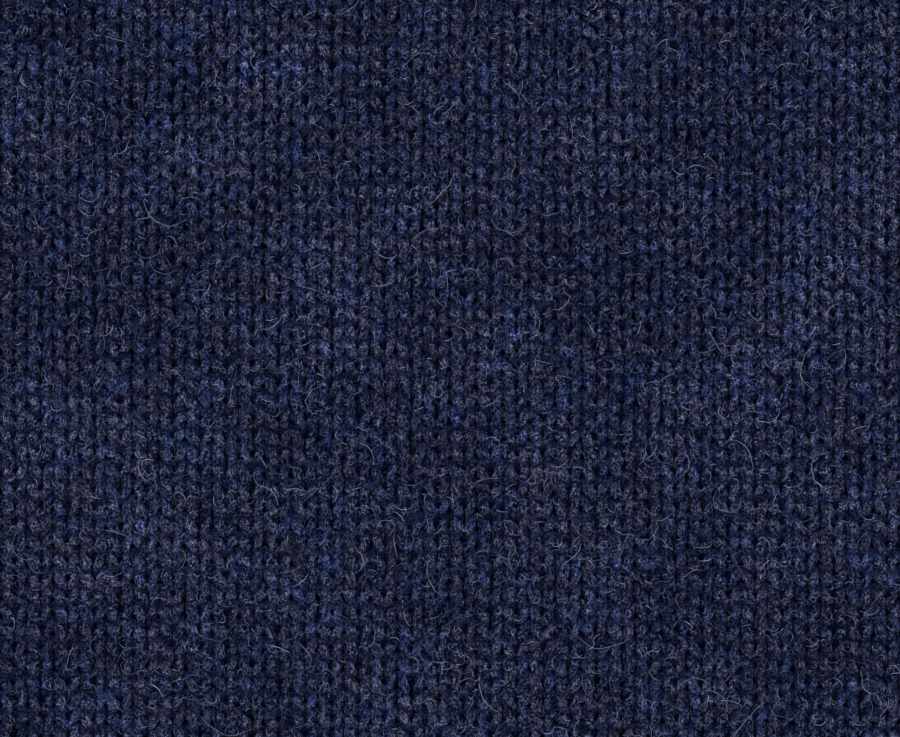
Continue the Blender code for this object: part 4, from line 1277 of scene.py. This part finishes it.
# %% [markdown]
# ## Running a Geometry Nodes tree
#
# A tree is made once, with named inputs: a table of sizes gives their names and values. To
# use the tree, an object gets a Nodes modifier whose inputs are set by the identifiers of
# the sockets. The result is copied to a plain mesh, and the object with the modifier is
# thrown away.

# %% Groups with named inputs
KIND_OF_INPUT = {int: "Int", float: "Float", bpy.types.Material: "Material"}


class Group(Tree):
    """A Geometry Nodes tree with named inputs."""

    def __init__(self, name, sizes, path=False):
        super().__init__(bpy.data.node_groups.new(name, "GeometryNodeTree"))
        self.sizes = sizes
        if path:
            self.add_socket("Path", "Geometry")
        for label, size in sizes.items():
            self.add_socket(label, KIND_OF_INPUT[type(size)])
        self.add_socket("Mesh", "Geometry", "OUTPUT")
        self.value = self.make("NodeGroupInput").out

    def add_socket(self, label, kind, side="INPUT"):
        self.tree.interface.new_socket(label, in_out=side, socket_type="NodeSocket" + kind)

    def finish(self, geometry):
        """Ends the tree: real geometry, with the material that the input names."""
        real = self.make("GeometryNodeRealizeInstances", {0: geometry})
        sockets = {"Geometry": real, "Material": self.value("Material")}
        self.make("NodeGroupOutput", {0: self.make("GeometryNodeSetMaterial", sockets)})
        return self

    def store(self, geometry, name, value, kind="FLOAT"):
        """Keeps a value on every point under a name."""
        sockets = {"Geometry": geometry, "Name": name, "Value": value}
        kind_of_node = "GeometryNodeStoreNamedAttribute"
        return self.make(kind_of_node, sockets, data_type=kind, domain="POINT")

    def stored(self, name, kind="FLOAT"):
        kind_of_node = "GeometryNodeInputNamedAttribute"
        return self.make(kind_of_node, {"Name": name}, "Attribute", data_type=kind)

    def random(self, low, high, seed):
        sockets = {"Min_001": low, "Max_001": high, "Seed": seed}
        return self.make("FunctionNodeRandomValue", sockets, "Value_001", data_type="FLOAT")

    def position(self):
        return self.make("GeometryNodeInputPosition")

    def moved(self, geometry, place):
        return self.make("GeometryNodeSetPosition", {"Geometry": geometry, "Position": place})

    def scaled(self, vector, factor):
        return self.make("ShaderNodeVectorMath", {0: vector, "Scale": factor}, operation="SCALE")

    def row(self, count, start, step):
        """So many points in a row, from the first one on, a step apart."""
        sockets = {"Count": count, "Start Location": start, "Offset": step}
        return self.make("GeometryNodeMeshLine", sockets, mode="OFFSET")

    def thread(self, end, count):
        """A straight curve from the origin to its end, with so many points."""
        line = self.make("GeometryNodeCurvePrimitiveLine", {"End": end})
        return self.make("GeometryNodeResampleCurve", {"Curve": line, "Count": count})

    def copies(self, points, piece, **turn):
        """A copy of a piece on each point."""
        sockets = {"Points": points, "Instance": piece, **turn}
        return self.make("GeometryNodeInstanceOnPoints", sockets)

    def swept(self, path, section, scale, caps):
        """A section drawn along a path."""
        sockets = {"Curve": path, "Profile Curve": section, "Scale": scale, "Fill Caps": caps}
        return self.make("GeometryNodeCurveToMesh", sockets)


print("a group's inputs can be", ", ".join(KIND_OF_INPUT.values()))


# %% Run a group
def settled(host):
    """The mesh that an object's modifiers make. The object itself is removed."""
    graph = bpy.context.evaluated_depsgraph_get()
    mesh = bpy.data.meshes.new_from_object(host.evaluated_get(graph))
    bpy.data.objects.remove(host)
    return mesh


def run_group(name, group, changed=None, path=None):
    """A plain mesh object from a group, with some sizes changed, along a path if it has one."""
    sizes = group.sizes | (changed or {})
    host = add_object(name + "_host", path or bpy.data.meshes.new(name + "_host"))
    modifier = host.modifiers.new("nodes", "NODES")
    modifier.node_group = group.tree
    for item in group.tree.interface.items_tree:
        if item.in_out == "INPUT" and item.name != "Path":
            modifier[item.identifier] = sizes[item.name]
    mesh = settled(host)
    mesh.name = name
    piece = add_object(name, mesh)
    say_size(piece)
    return piece


# %% [markdown]
# ## Real loops of yarn
#
# A stitch is a loop of yarn: it comes up through the loop below, goes over at its top, and
# goes down again. One formula gives the thread of a whole course. Along the course the
# thread swings up and down once for each stitch, leans out and in twice, and dips behind
# the cloth twice, where it passes behind the courses above and below. The tree lays one
# such thread for each course, thickens it with a two-lobed section that turns with the
# twist of the two plies, and shifts everything a little, because no hand or machine makes
# two stitches alike.

# %% The tree that knits
PLY_SIDES = 8  # corners of the yarn's section
LOBE_DEPTH = 0.13  # how much the two plies stand out of the section
COURSES_APART = 17.0  # keeps the wool of one course unlike that of the next
DRIFT_SCALE = 0.43  # unevenness over several stitches
QUICK_SCALE = 1.9  # and within each of them
YARN_RADIUS = 0.00082
LOOP_DEPTH = 0.00060
LOOP_SIZES = {
    "Columns": PATCH_COLUMNS, "Rows": 1, "First Row": 0, "Steps": 14,
    "Wale": WALE, "Course": COURSE, "Loop Height": 1.04 * COURSE, "Lean": 0.22 * WALE,
    "Slant": 0.03, "Depth": LOOP_DEPTH, "Head Drop": 0.00018, "Yarn Radius": YARN_RADIUS,
    "Twist": 1.13 * TURN, "Unevenness": 0.00055, "Base Up": -HEM_TO_MIDDLE,
    "Base Height": FLAT_TOP + 0.0002 - LOOP_DEPTH - YARN_RADIUS, "Material": YARN,
}  # fmt: skip


def make_knitter():
    group = Group("knit_loops", LOOP_SIZES)
    value = group.value
    start = group.vector(0.0, value("First Row"), 0.0)
    courses = group.row(value("Rows"), start, (0.0, 1.0, 0.0))
    end = group.vector(value("Columns"), 0.0, 0.0)
    thread = group.thread(end, value("Columns") * value("Steps") + 1.0)
    threads = group.make("GeometryNodeRealizeInstances", {0: group.copies(courses, thread)})
    place = group.position()
    stitch, course, _ = group.split(place)
    threads = group.store(threads, "yarn_along", stitch + course * COURSES_APART)
    turn = stitch * TURN

    drift = group.noise(place, scale=DRIFT_SCALE, detail=2.0, output="Color")
    quick = group.noise(place, scale=QUICK_SCALE, detail=1.0, output="Color")
    drift_x, drift_y, drift_z = group.split(drift)
    quick_x, quick_y, quick_z = group.split(quick)
    uneven = value("Unevenness")
    swing = turn.cosine()
    height = value("Loop Height") * (0.86 + 0.28 * drift_z)
    across = value("Wale") * (stitch - value("Columns") * 0.5)
    across += value("Lean") * (turn * 2.0).sine() * (0.8 + 0.4 * quick_z)
    across -= value("Slant") * height * swing
    across += uneven * ((drift_x - 0.5) * 2.2 + (quick_x - 0.5) * 1.2)
    up = value("Course") * course + height * swing + value("Base Up")
    up += uneven * ((drift_y - 0.5) * 1.8 + (quick_y - 0.5) * 1.0)
    rise = value("Base Height") - value("Depth") * (turn * 2.0).cosine()
    rise -= value("Head Drop") * swing
    rise += uneven * (drift_z - 0.5) * 1.2
    threads = group.moved(threads, group.vector(across, up, rise))
    threads = group.make("GeometryNodeSetCurveNormal", {"Curve": threads}, mode="Z_UP")

    # From here on the points have moved, so the thread's own number stands for the stitch
    along = group.stored("yarn_along")
    tilt = {"Curve": threads, "Tilt": along * value("Twist")}
    threads = group.make("GeometryNodeSetCurveTilt", tilt)
    section = group.make("GeometryNodeCurvePrimitiveCircle", {"Resolution": PLY_SIDES})
    facing = group.position()
    section = group.store(section, "yarn_facing", facing, "FLOAT_VECTOR")
    corner = group.make("GeometryNodeInputIndex") * (TURN / PLY_SIDES)
    lobes = 1.0 + LOBE_DEPTH * (corner * 2.0).cosine()
    section = group.moved(section, group.scaled(facing, lobes))
    fat = group.noise(group.vector(along * 2.3, 0.0, 0.0), detail=1.0)
    right_leg = (along * TURN).sine()
    radius = value("Yarn Radius") * (0.80 + 0.40 * fat) * (1.0 - 0.10 * right_leg)
    return group.finish(group.swept(threads, section, radius, True))


KNITTER = make_knitter()
print("nodes that knit:", len(KNITTER.tree.nodes))

# %% [markdown]
# ## The knitted patch under the camera
#
# It reaches a little past the picture's edges. It is knitted in three strips, so that no
# single mesh is too heavy. The cloth's plain wall sinks under it, and the strips' loops
# sit on the lattice that the material draws on the wall, so the two join up.

# %% Knit the patch
STRIP_ROWS = [15, 15, 16]  # courses in each strip, PATCH_ROWS in all
first_row = round(VIEW_UP / COURSE) - PATCH_ROWS // 2
knitted = []
for strip, rows in enumerate(STRIP_ROWS, 1):
    piece = run_group(f"knitted_loops_{strip}", KNITTER, {"Rows": rows, "First Row": first_row})
    piece.data.shade_smooth()
    knitted.append(piece)
    first_row += rows

# %% [markdown]
# ## Hairs over the stitches
#
# Each hair is a thin open curve that starts at a random place, sets off in a random
# direction and bends steadily, so short bends make commas and long ones make full loops.
# It rises a little from the cloth and comes down again. Three sides are enough for
# something thinner than the picture's own dots.

# %% The tree that grows hairs
HAIR_SIDES = 3
LEAST_BEND = 0.35  # no hair is quite straight
HAIR_SIZES = {
    "Width": PATCH_COLUMNS * WALE, "Length": PATCH_ROWS * COURSE, "Middle Up": VIEW_Y,
    "Height": FLAT_TOP, "Rise": 0.0007, "Thickness": 0.000025, "Material": HAIR,
    "Density": 1.0, "Shortest": 0.0, "Longest": 0.0, "Bend": 1.0, "Seed": 0, "Steps": 2,
}  # fmt: skip


def make_grower():
    group = Group("stray_hairs", HAIR_SIZES)
    value = group.value
    size = {"Size X": value("Width"), "Size Y": value("Length"), "Vertices X": 2, "Vertices Y": 2}
    field = group.make("GeometryNodeMeshGrid", size)
    sowing = {"Mesh": field, "Density": value("Density"), "Seed": value("Seed")}
    roots = group.make("GeometryNodeDistributePointsOnFaces", sowing)
    roots = group.store(roots, "root", group.position(), "FLOAT_VECTOR")
    chance = group.random(0.0, 1.0, value("Seed") + 1.0)
    span = value("Shortest") + (value("Longest") - value("Shortest")) * chance.power(4.0)
    side = group.random(-1.0, 1.0, value("Seed") + 3.0)
    for name, own in (
        ("span", span),
        ("heading", group.random(0.0, TURN, value("Seed") + 2.0)),
        ("bend", value("Bend") * side * 0.9 + side.sign() * LEAST_BEND),
        ("rise", value("Rise") * group.random(0.1, 1.0, value("Seed") + 4.0)),
        ("hair_shade", group.random(0.0, 1.0, value("Seed") + 5.0)),
    ):
        roots = group.store(roots, name, own)
    hairs = group.copies(roots, group.thread((1.0, 0.0, 0.0), value("Steps")))
    hairs = group.make("GeometryNodeRealizeInstances", {0: hairs})
    share = group.make("GeometryNodeSplineParameter", output="Factor")
    root_x, root_y, _ = group.split(group.stored("root", "FLOAT_VECTOR"))
    heading, bend, span = (group.stored(name) for name in ("heading", "bend", "span"))
    now = heading + bend * share
    x = root_x + span * (now.sine() - heading.sine()) / bend
    y = root_y + span * (heading.cosine() - now.cosine()) / bend + value("Middle Up")
    z = value("Height") + group.stored("rise") * (share * (TURN / 2)).sine()
    wobble = group.noise(group.vector(x, y, z), scale=900.0, detail=1.0, output="Color")
    wobble_x, wobble_y, wobble_z = group.split(wobble)
    spread = span * 0.16
    shape = group.vector(
        x + (wobble_x - 0.5) * spread, y + (wobble_y - 0.5) * spread, z + (wobble_z - 0.5) * 0.0003
    )
    hairs = group.moved(hairs, shape)
    circle = {"Resolution": HAIR_SIDES, "Radius": value("Thickness")}
    section = group.make("GeometryNodeCurvePrimitiveCircle", circle)
    taper = 1.0 - 0.55 * (share * 2.0 - 1.0).power(2.0)
    return group.finish(group.swept(hairs, section, taper, False))


GROWER = make_grower()
print("nodes that grow hairs:", len(GROWER.tree.nodes))

# %% [markdown]
# ## Three kinds of hair
#
# Wool sheds many short fibres, fewer of middle length and a few long ones. One field of
# each kind lies over the knitted patch, and its seed keeps it the same at every run.

# %% Grow the hairs
HAIR_INPUTS = ["Density", "Shortest", "Longest", "Bend", "Seed", "Steps"]
HAIR_FIELDS = {  # name: hairs on each square metre, lengths, bend, seed, points of a hair
    "fluff": [420000.0, 0.0005, 0.0024, 1.6, 23, 4],
    "short_hairs": [500000.0, 0.0009, 0.0044, 2.6, 3, 5],
    "long_hairs": [42000.0, 0.0022, 0.0100, 4.6, 11, 7],
}
hairs = [
    run_group(name, GROWER, dict(zip(HAIR_INPUTS, field))) for name, field in HAIR_FIELDS.items()
]

# %% [markdown]
# ## Teeth of the zip
#
# A metal zip has a row of small blocks clamped to each tape. The blocks of one side fill
# the gaps of the other, so along the closed zip they come from left and right in turn. The
# tree makes one block with rounded edges, puts it on a line of points and turns every
# second one half round. The rounding is a superellipsoid: the points of a cube, pulled
# onto a round shape whose exponent says how square it stays.

# %% Sizes of the teeth
TOOTH_PITCH = 0.0015
TOOTH_WIDTH = 0.00125
TOOTH_OVERLAP = 0.0008  # how far a tooth reaches past the middle
CHAIN_LOW, CHAIN_HIGH = (np.array(corner, float).tolist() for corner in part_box("zip_chain"))
TOOTH_COUNT = int((CHAIN_HIGH[1] - CHAIN_LOW[1] - TOOTH_WIDTH) / TOOTH_PITCH) + 1
TOOTH_SIZES = {
    "Count": TOOTH_COUNT, "Pitch": TOOTH_PITCH, "Start Up": CHAIN_LOW[1] + TOOTH_WIDTH / 2,
    "Middle Height": (CHAIN_LOW[2] + CHAIN_HIGH[2]) / 2, "Width": TOOTH_WIDTH,
    "Thickness": CHAIN_HIGH[2] - CHAIN_LOW[2], "Reach": CHAIN_HIGH[0],
    "Overlap": TOOTH_OVERLAP, "Squareness": 5.0, "Material": METAL,
}  # fmt: skip
print("teeth:", TOOTH_COUNT)

# %% A block with rounded edges
CUBE = {"Size": (2.0, 2.0, 2.0), "Vertices X": 4, "Vertices Y": 4, "Vertices Z": 4}


def rounded_block(group, squareness):
    """A cube from -1 to 1 with rounded edges and corners."""
    corner = group.position()
    x, y, z = (part.absolute().power(squareness) for part in group.split(corner))
    shrink = (x + y + z).power(-1.0 / squareness)
    return group.moved(group.make("GeometryNodeMeshCube", CUBE), group.scaled(corner, shrink))


def smooth_block(group, block, shape):
    """A block whose points move to a shape, shaded smooth."""
    block = group.moved(block, shape)
    return group.make("GeometryNodeSetShadeSmooth", {"Geometry": block})


print("faces of a block:", 6 * (CUBE["Vertices X"] - 1) ** 2)


# %% The tree that sets the teeth
def make_tooth_setter():
    group = Group("zip_teeth", TOOTH_SIZES)
    value = group.value
    block = rounded_block(group, value("Squareness"))
    half_length = (value("Reach") + value("Overlap")) * 0.5
    x, y, z = group.split(group.position())
    narrowing = 1.0 - 0.16 * x.ramp(-1.0, 1.0)
    shape = group.vector(
        x * half_length + (value("Reach") - value("Overlap")) * 0.5,
        y * value("Width") * 0.5 / narrowing * 0.84,
        z * value("Thickness") * 0.5,
    )
    block = smooth_block(group, block, shape)
    start = group.vector(0.0, value("Start Up"), value("Middle Height"))
    line = group.row(value("Count"), start, group.vector(0.0, value("Pitch"), 0.0))
    turn = (group.make("GeometryNodeInputIndex") * 0.5).fraction() * TURN
    euler = {"Euler": group.vector(0.0, 0.0, turn)}
    turned = group.make("FunctionNodeEulerToRotation", euler)
    return group.finish(group.copies(line, block, Rotation=turned))


teeth = run_group("zip_teeth", make_tooth_setter())

# %% [markdown]
# ## Slider, stops and pull tab
#
# Cast and stamped metal has no sharp edges, and the thin line of light along an edge is
# what makes it look like metal. The construction model's shapes are right, so each is
# copied, its loose triangles are merged and its edges are rounded by a Bevel modifier.

# %% Round the edges of the small metal pieces
MERGE = 0.000001
SMALL_METAL = {  # node: radius of its edges
    "zip_slider": 0.00022,
    "zip_pull_tab": 0.00035,
    "zip_bottom_stop": 0.00025,
    "zip_top_stop_left": 0.00025,
    "zip_top_stop_right": 0.00025,
}


def rounded_copy(node, radius):
    """A copy of a node's mesh with rounded edges."""
    shape = bmesh.new()
    shape.from_mesh(bpy.data.objects[node].data)
    bmesh.ops.remove_doubles(shape, verts=shape.verts, dist=MERGE)
    flat = math.radians(1)
    bmesh.ops.dissolve_limit(shape, angle_limit=flat, verts=shape.verts, edges=shape.edges)
    mesh = bpy.data.meshes.new(node + "_rounded")
    shape.to_mesh(mesh)
    shape.free()
    host = add_object(node + "_host", mesh)
    bevel = host.modifiers.new("edges", "BEVEL")
    bevel.width = radius
    bevel.segments = 3
    bevel.limit_method = "ANGLE"
    bevel.angle_limit = math.radians(35)
    bevel.use_clamp_overlap = True
    rounded = settled(host)
    rounded.materials.clear()
    rounded.materials.append(METAL)
    rounded.shade_smooth()
    rounded.set_sharp_from_angle(angle=math.radians(40))
    piece = add_object(node + "_rounded", rounded)
    say_size(piece)
    return piece


metal_pieces = {node: rounded_copy(node, radius) for node, radius in SMALL_METAL.items()}
metal_pieces["zip_chain"] = teeth

# %% [markdown]
# ## Sewn rows along the zip
#
# The zip is held by a row of lockstitches on each side of the slit. On the front each
# stitch is a short thread that sinks into the knit at both ends. The rows are worked out
# on the cloth's own height, and the tree lays one rounded block for each stitch along
# them.

# %% Material of the thread
THREAD_IN_SHADE = (0.0100, 0.0130, 0.0400, 1.0)
THREAD_IN_LIGHT = (0.0500, 0.0600, 0.1200, 1.0)
THREAD_TWIST = 9000.0  # radians on each metre

thread_finish = Finish("sewing_thread", 0.55, specular=0.3)
thread_x, thread_y, _ = thread_finish.split(thread_finish.place())
twist = ((thread_x + thread_y) * THREAD_TWIST).sine() * 0.5 + 0.5
# Painted light and shade: the colour is lighter on the ridges of the twist and darker between
# them, after the same wave as the bump.
THREAD = thread_finish.wired(
    Base_Color=thread_finish.mix(twist, THREAD_IN_SHADE, THREAD_IN_LIGHT),
    Normal=thread_finish.bump(twist, 0.00008, 0.8),
)

# %% The tree that sews
SEWN_SIZES = {
    "Stitch Length": 0.0030, "Gap": 0.0005, "Thickness": 0.00026, "Height": 0.0001,
    "Squareness": 2.6, "Material": THREAD,
}  # fmt: skip


def make_sewer():
    group = Group("sewn_row", SEWN_SIZES, path=True)
    value = group.value
    row = group.make("GeometryNodeMeshToCurve", {"Mesh": value("Path")})
    spacing = {0: row, "Length": value("Stitch Length")}
    row = group.make("GeometryNodeResampleCurve", spacing, mode="LENGTH")
    block = rounded_block(group, value("Squareness"))
    x, y, z = group.split(group.position())
    shape = group.vector(
        x * (value("Stitch Length") - value("Gap")) * 0.5,
        y * value("Thickness"),
        z * value("Thickness") - x * x * value("Thickness") * 0.5 + value("Height"),
    )
    block = smooth_block(group, block, shape)
    along = group.make("GeometryNodeInputTangent")
    turned = group.make("FunctionNodeAlignRotationToVector", {"Vector": along}, axis="X")
    return group.finish(group.copies(row, block, Rotation=turned))


SEWER = make_sewer()
print("nodes that sew:", len(SEWER.tree.nodes))

# %% Sew the two rows
SEWN_BESIDE_SLIT = 0.0036
PATH_STEP = 0.002


def sewn_path():
    """Edges along both rows, a little above the cloth, round the foot of the slit."""
    beside = SLIT_HALF_WIDTH + SEWN_BESIDE_SLIT
    foot = SLIT_END_HEIGHT - SEWN_BESIDE_SLIT
    ups = np.arange(foot + beside, COLLAR_FRONT_TOP - PATH_STEP, PATH_STEP)
    turns = np.linspace(0.0, TURN / 4, 9)[:-1]
    right = [(beside * math.sin(t), foot + beside * (1 - math.cos(t))) for t in turns]
    right += [(beside, up) for up in ups]
    plan = [*((-x, up) for x, up in reversed(right[1:])), *right]
    outer, _ = cloth(plan, True)
    path = bpy.data.meshes.new("sewn_path")
    path.from_pydata([tuple(p) for p in outer], [(k, k + 1) for k in range(len(plan) - 1)], [])
    return path


sewn_rows = run_group("zip_topstitching", SEWER, path=sewn_path())

# %% [markdown]
# ## Floor and light
#
# The floor is a plain pale surface that the garment lies on. The light comes from a window
# on one side, a lamp that stands lower and a bright ceiling, and a little from the room all
# round. All of them are large and far away, so the floor is lit evenly, the stitches get
# gentle shadows and the wool never shines.

# %% Floor
scene.view_settings.view_transform = "Standard"
FLOOR_HALF = 6.0
FLOOR_UNDER = 0.0003  # the floor is this far below the cloth
FLOOR_COLOUR = (0.64, 0.64, 0.63, 1.0)


def make_floor():
    finish = Finish("pale_floor", 0.9, specular=0.2)
    finish.set("Base Color", FLOOR_COLOUR)
    mesh = bpy.data.meshes.new("floor")
    corners = [(-1, -1, 0), (1, -1, 0), (1, 1, 0), (-1, 1, 0)]
    mesh.from_pydata(corners, [], [(0, 1, 2, 3)])
    mesh.transform(Matrix.Translation((0, 0, -FLOOR_UNDER)) @ Matrix.Scale(FLOOR_HALF, 4))
    mesh.materials.append(finish.material)
    add_object("floor", mesh)


make_floor()
print("floor", 2 * FLOOR_HALF, "m wide")

# %% Lights and the room
LIGHTS = [  # name, size, power, place, spread in degrees
    ("window", 3.0, 41.0, (-1.90, -3.52, 3.30), 80.0),
    ("low_lamp", 2.0, 17.5, (0.40, -2.84, 1.60), 70.0),
    ("ceiling", 4.0, 30.0, (2.20, 2.70, 4.20), 100.0),
]
ROOM = {"Color": (0.86, 0.90, 1.0, 1.0), "Strength": 0.20}


def area_light(name, size, power, place, spread):
    """A round lamp that the camera doesn't see, turned to the middle of the picture."""
    data = bpy.data.lights.new(name, "AREA")
    data.shape = "DISK"
    data.size = size
    data.energy = power
    data.spread = math.radians(spread)
    light = add_object(name, data)
    light.location = place
    lit_place = Vector((0.0, VIEW_Y, 0.0))
    light.rotation_euler = (lit_place - light.location).to_track_quat("-Z", "Y").to_euler()
    light.visible_camera = False


for sizes in LIGHTS:
    area_light(*sizes)
world = bpy.data.worlds.new("room")
scene.world = world
world.use_nodes = True
for socket, value in ROOM.items():
    world.node_tree.nodes["Background"].inputs[socket].default_value = value
print("lights:", len(LIGHTS))

# %% [markdown]
# ## Fixing everything to the model
#
# Each cloth piece hides its node of the construction model, and its area is printed beside
# the size that it was cut to. Loops and hairs belong to the front. The zip's tapes keep the
# model's own shape and get their material, and the finer metal pieces take the place of their
# nodes.

# %% Bodies, stand-ins and the tapes' material
stitching = [*knitted, *hairs, sewn_rows]
for piece in stitching:
    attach(piece, "sweater")
for node, below, flat, (piece, area) in SHELLS:
    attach(piece, "sweater")
    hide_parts(node)
    print(f"{node}: {area:.4f} square metres of {flat[0] * flat[1]:.4f}")
for node, piece in metal_pieces.items():
    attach(piece, "pull_tab" if node == "zip_pull_tab" else "sweater")
    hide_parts(node)
for node in ("zip_tape_left", "zip_tape_right"):
    bpy.data.objects[node].material_slots[0].material = TAPE
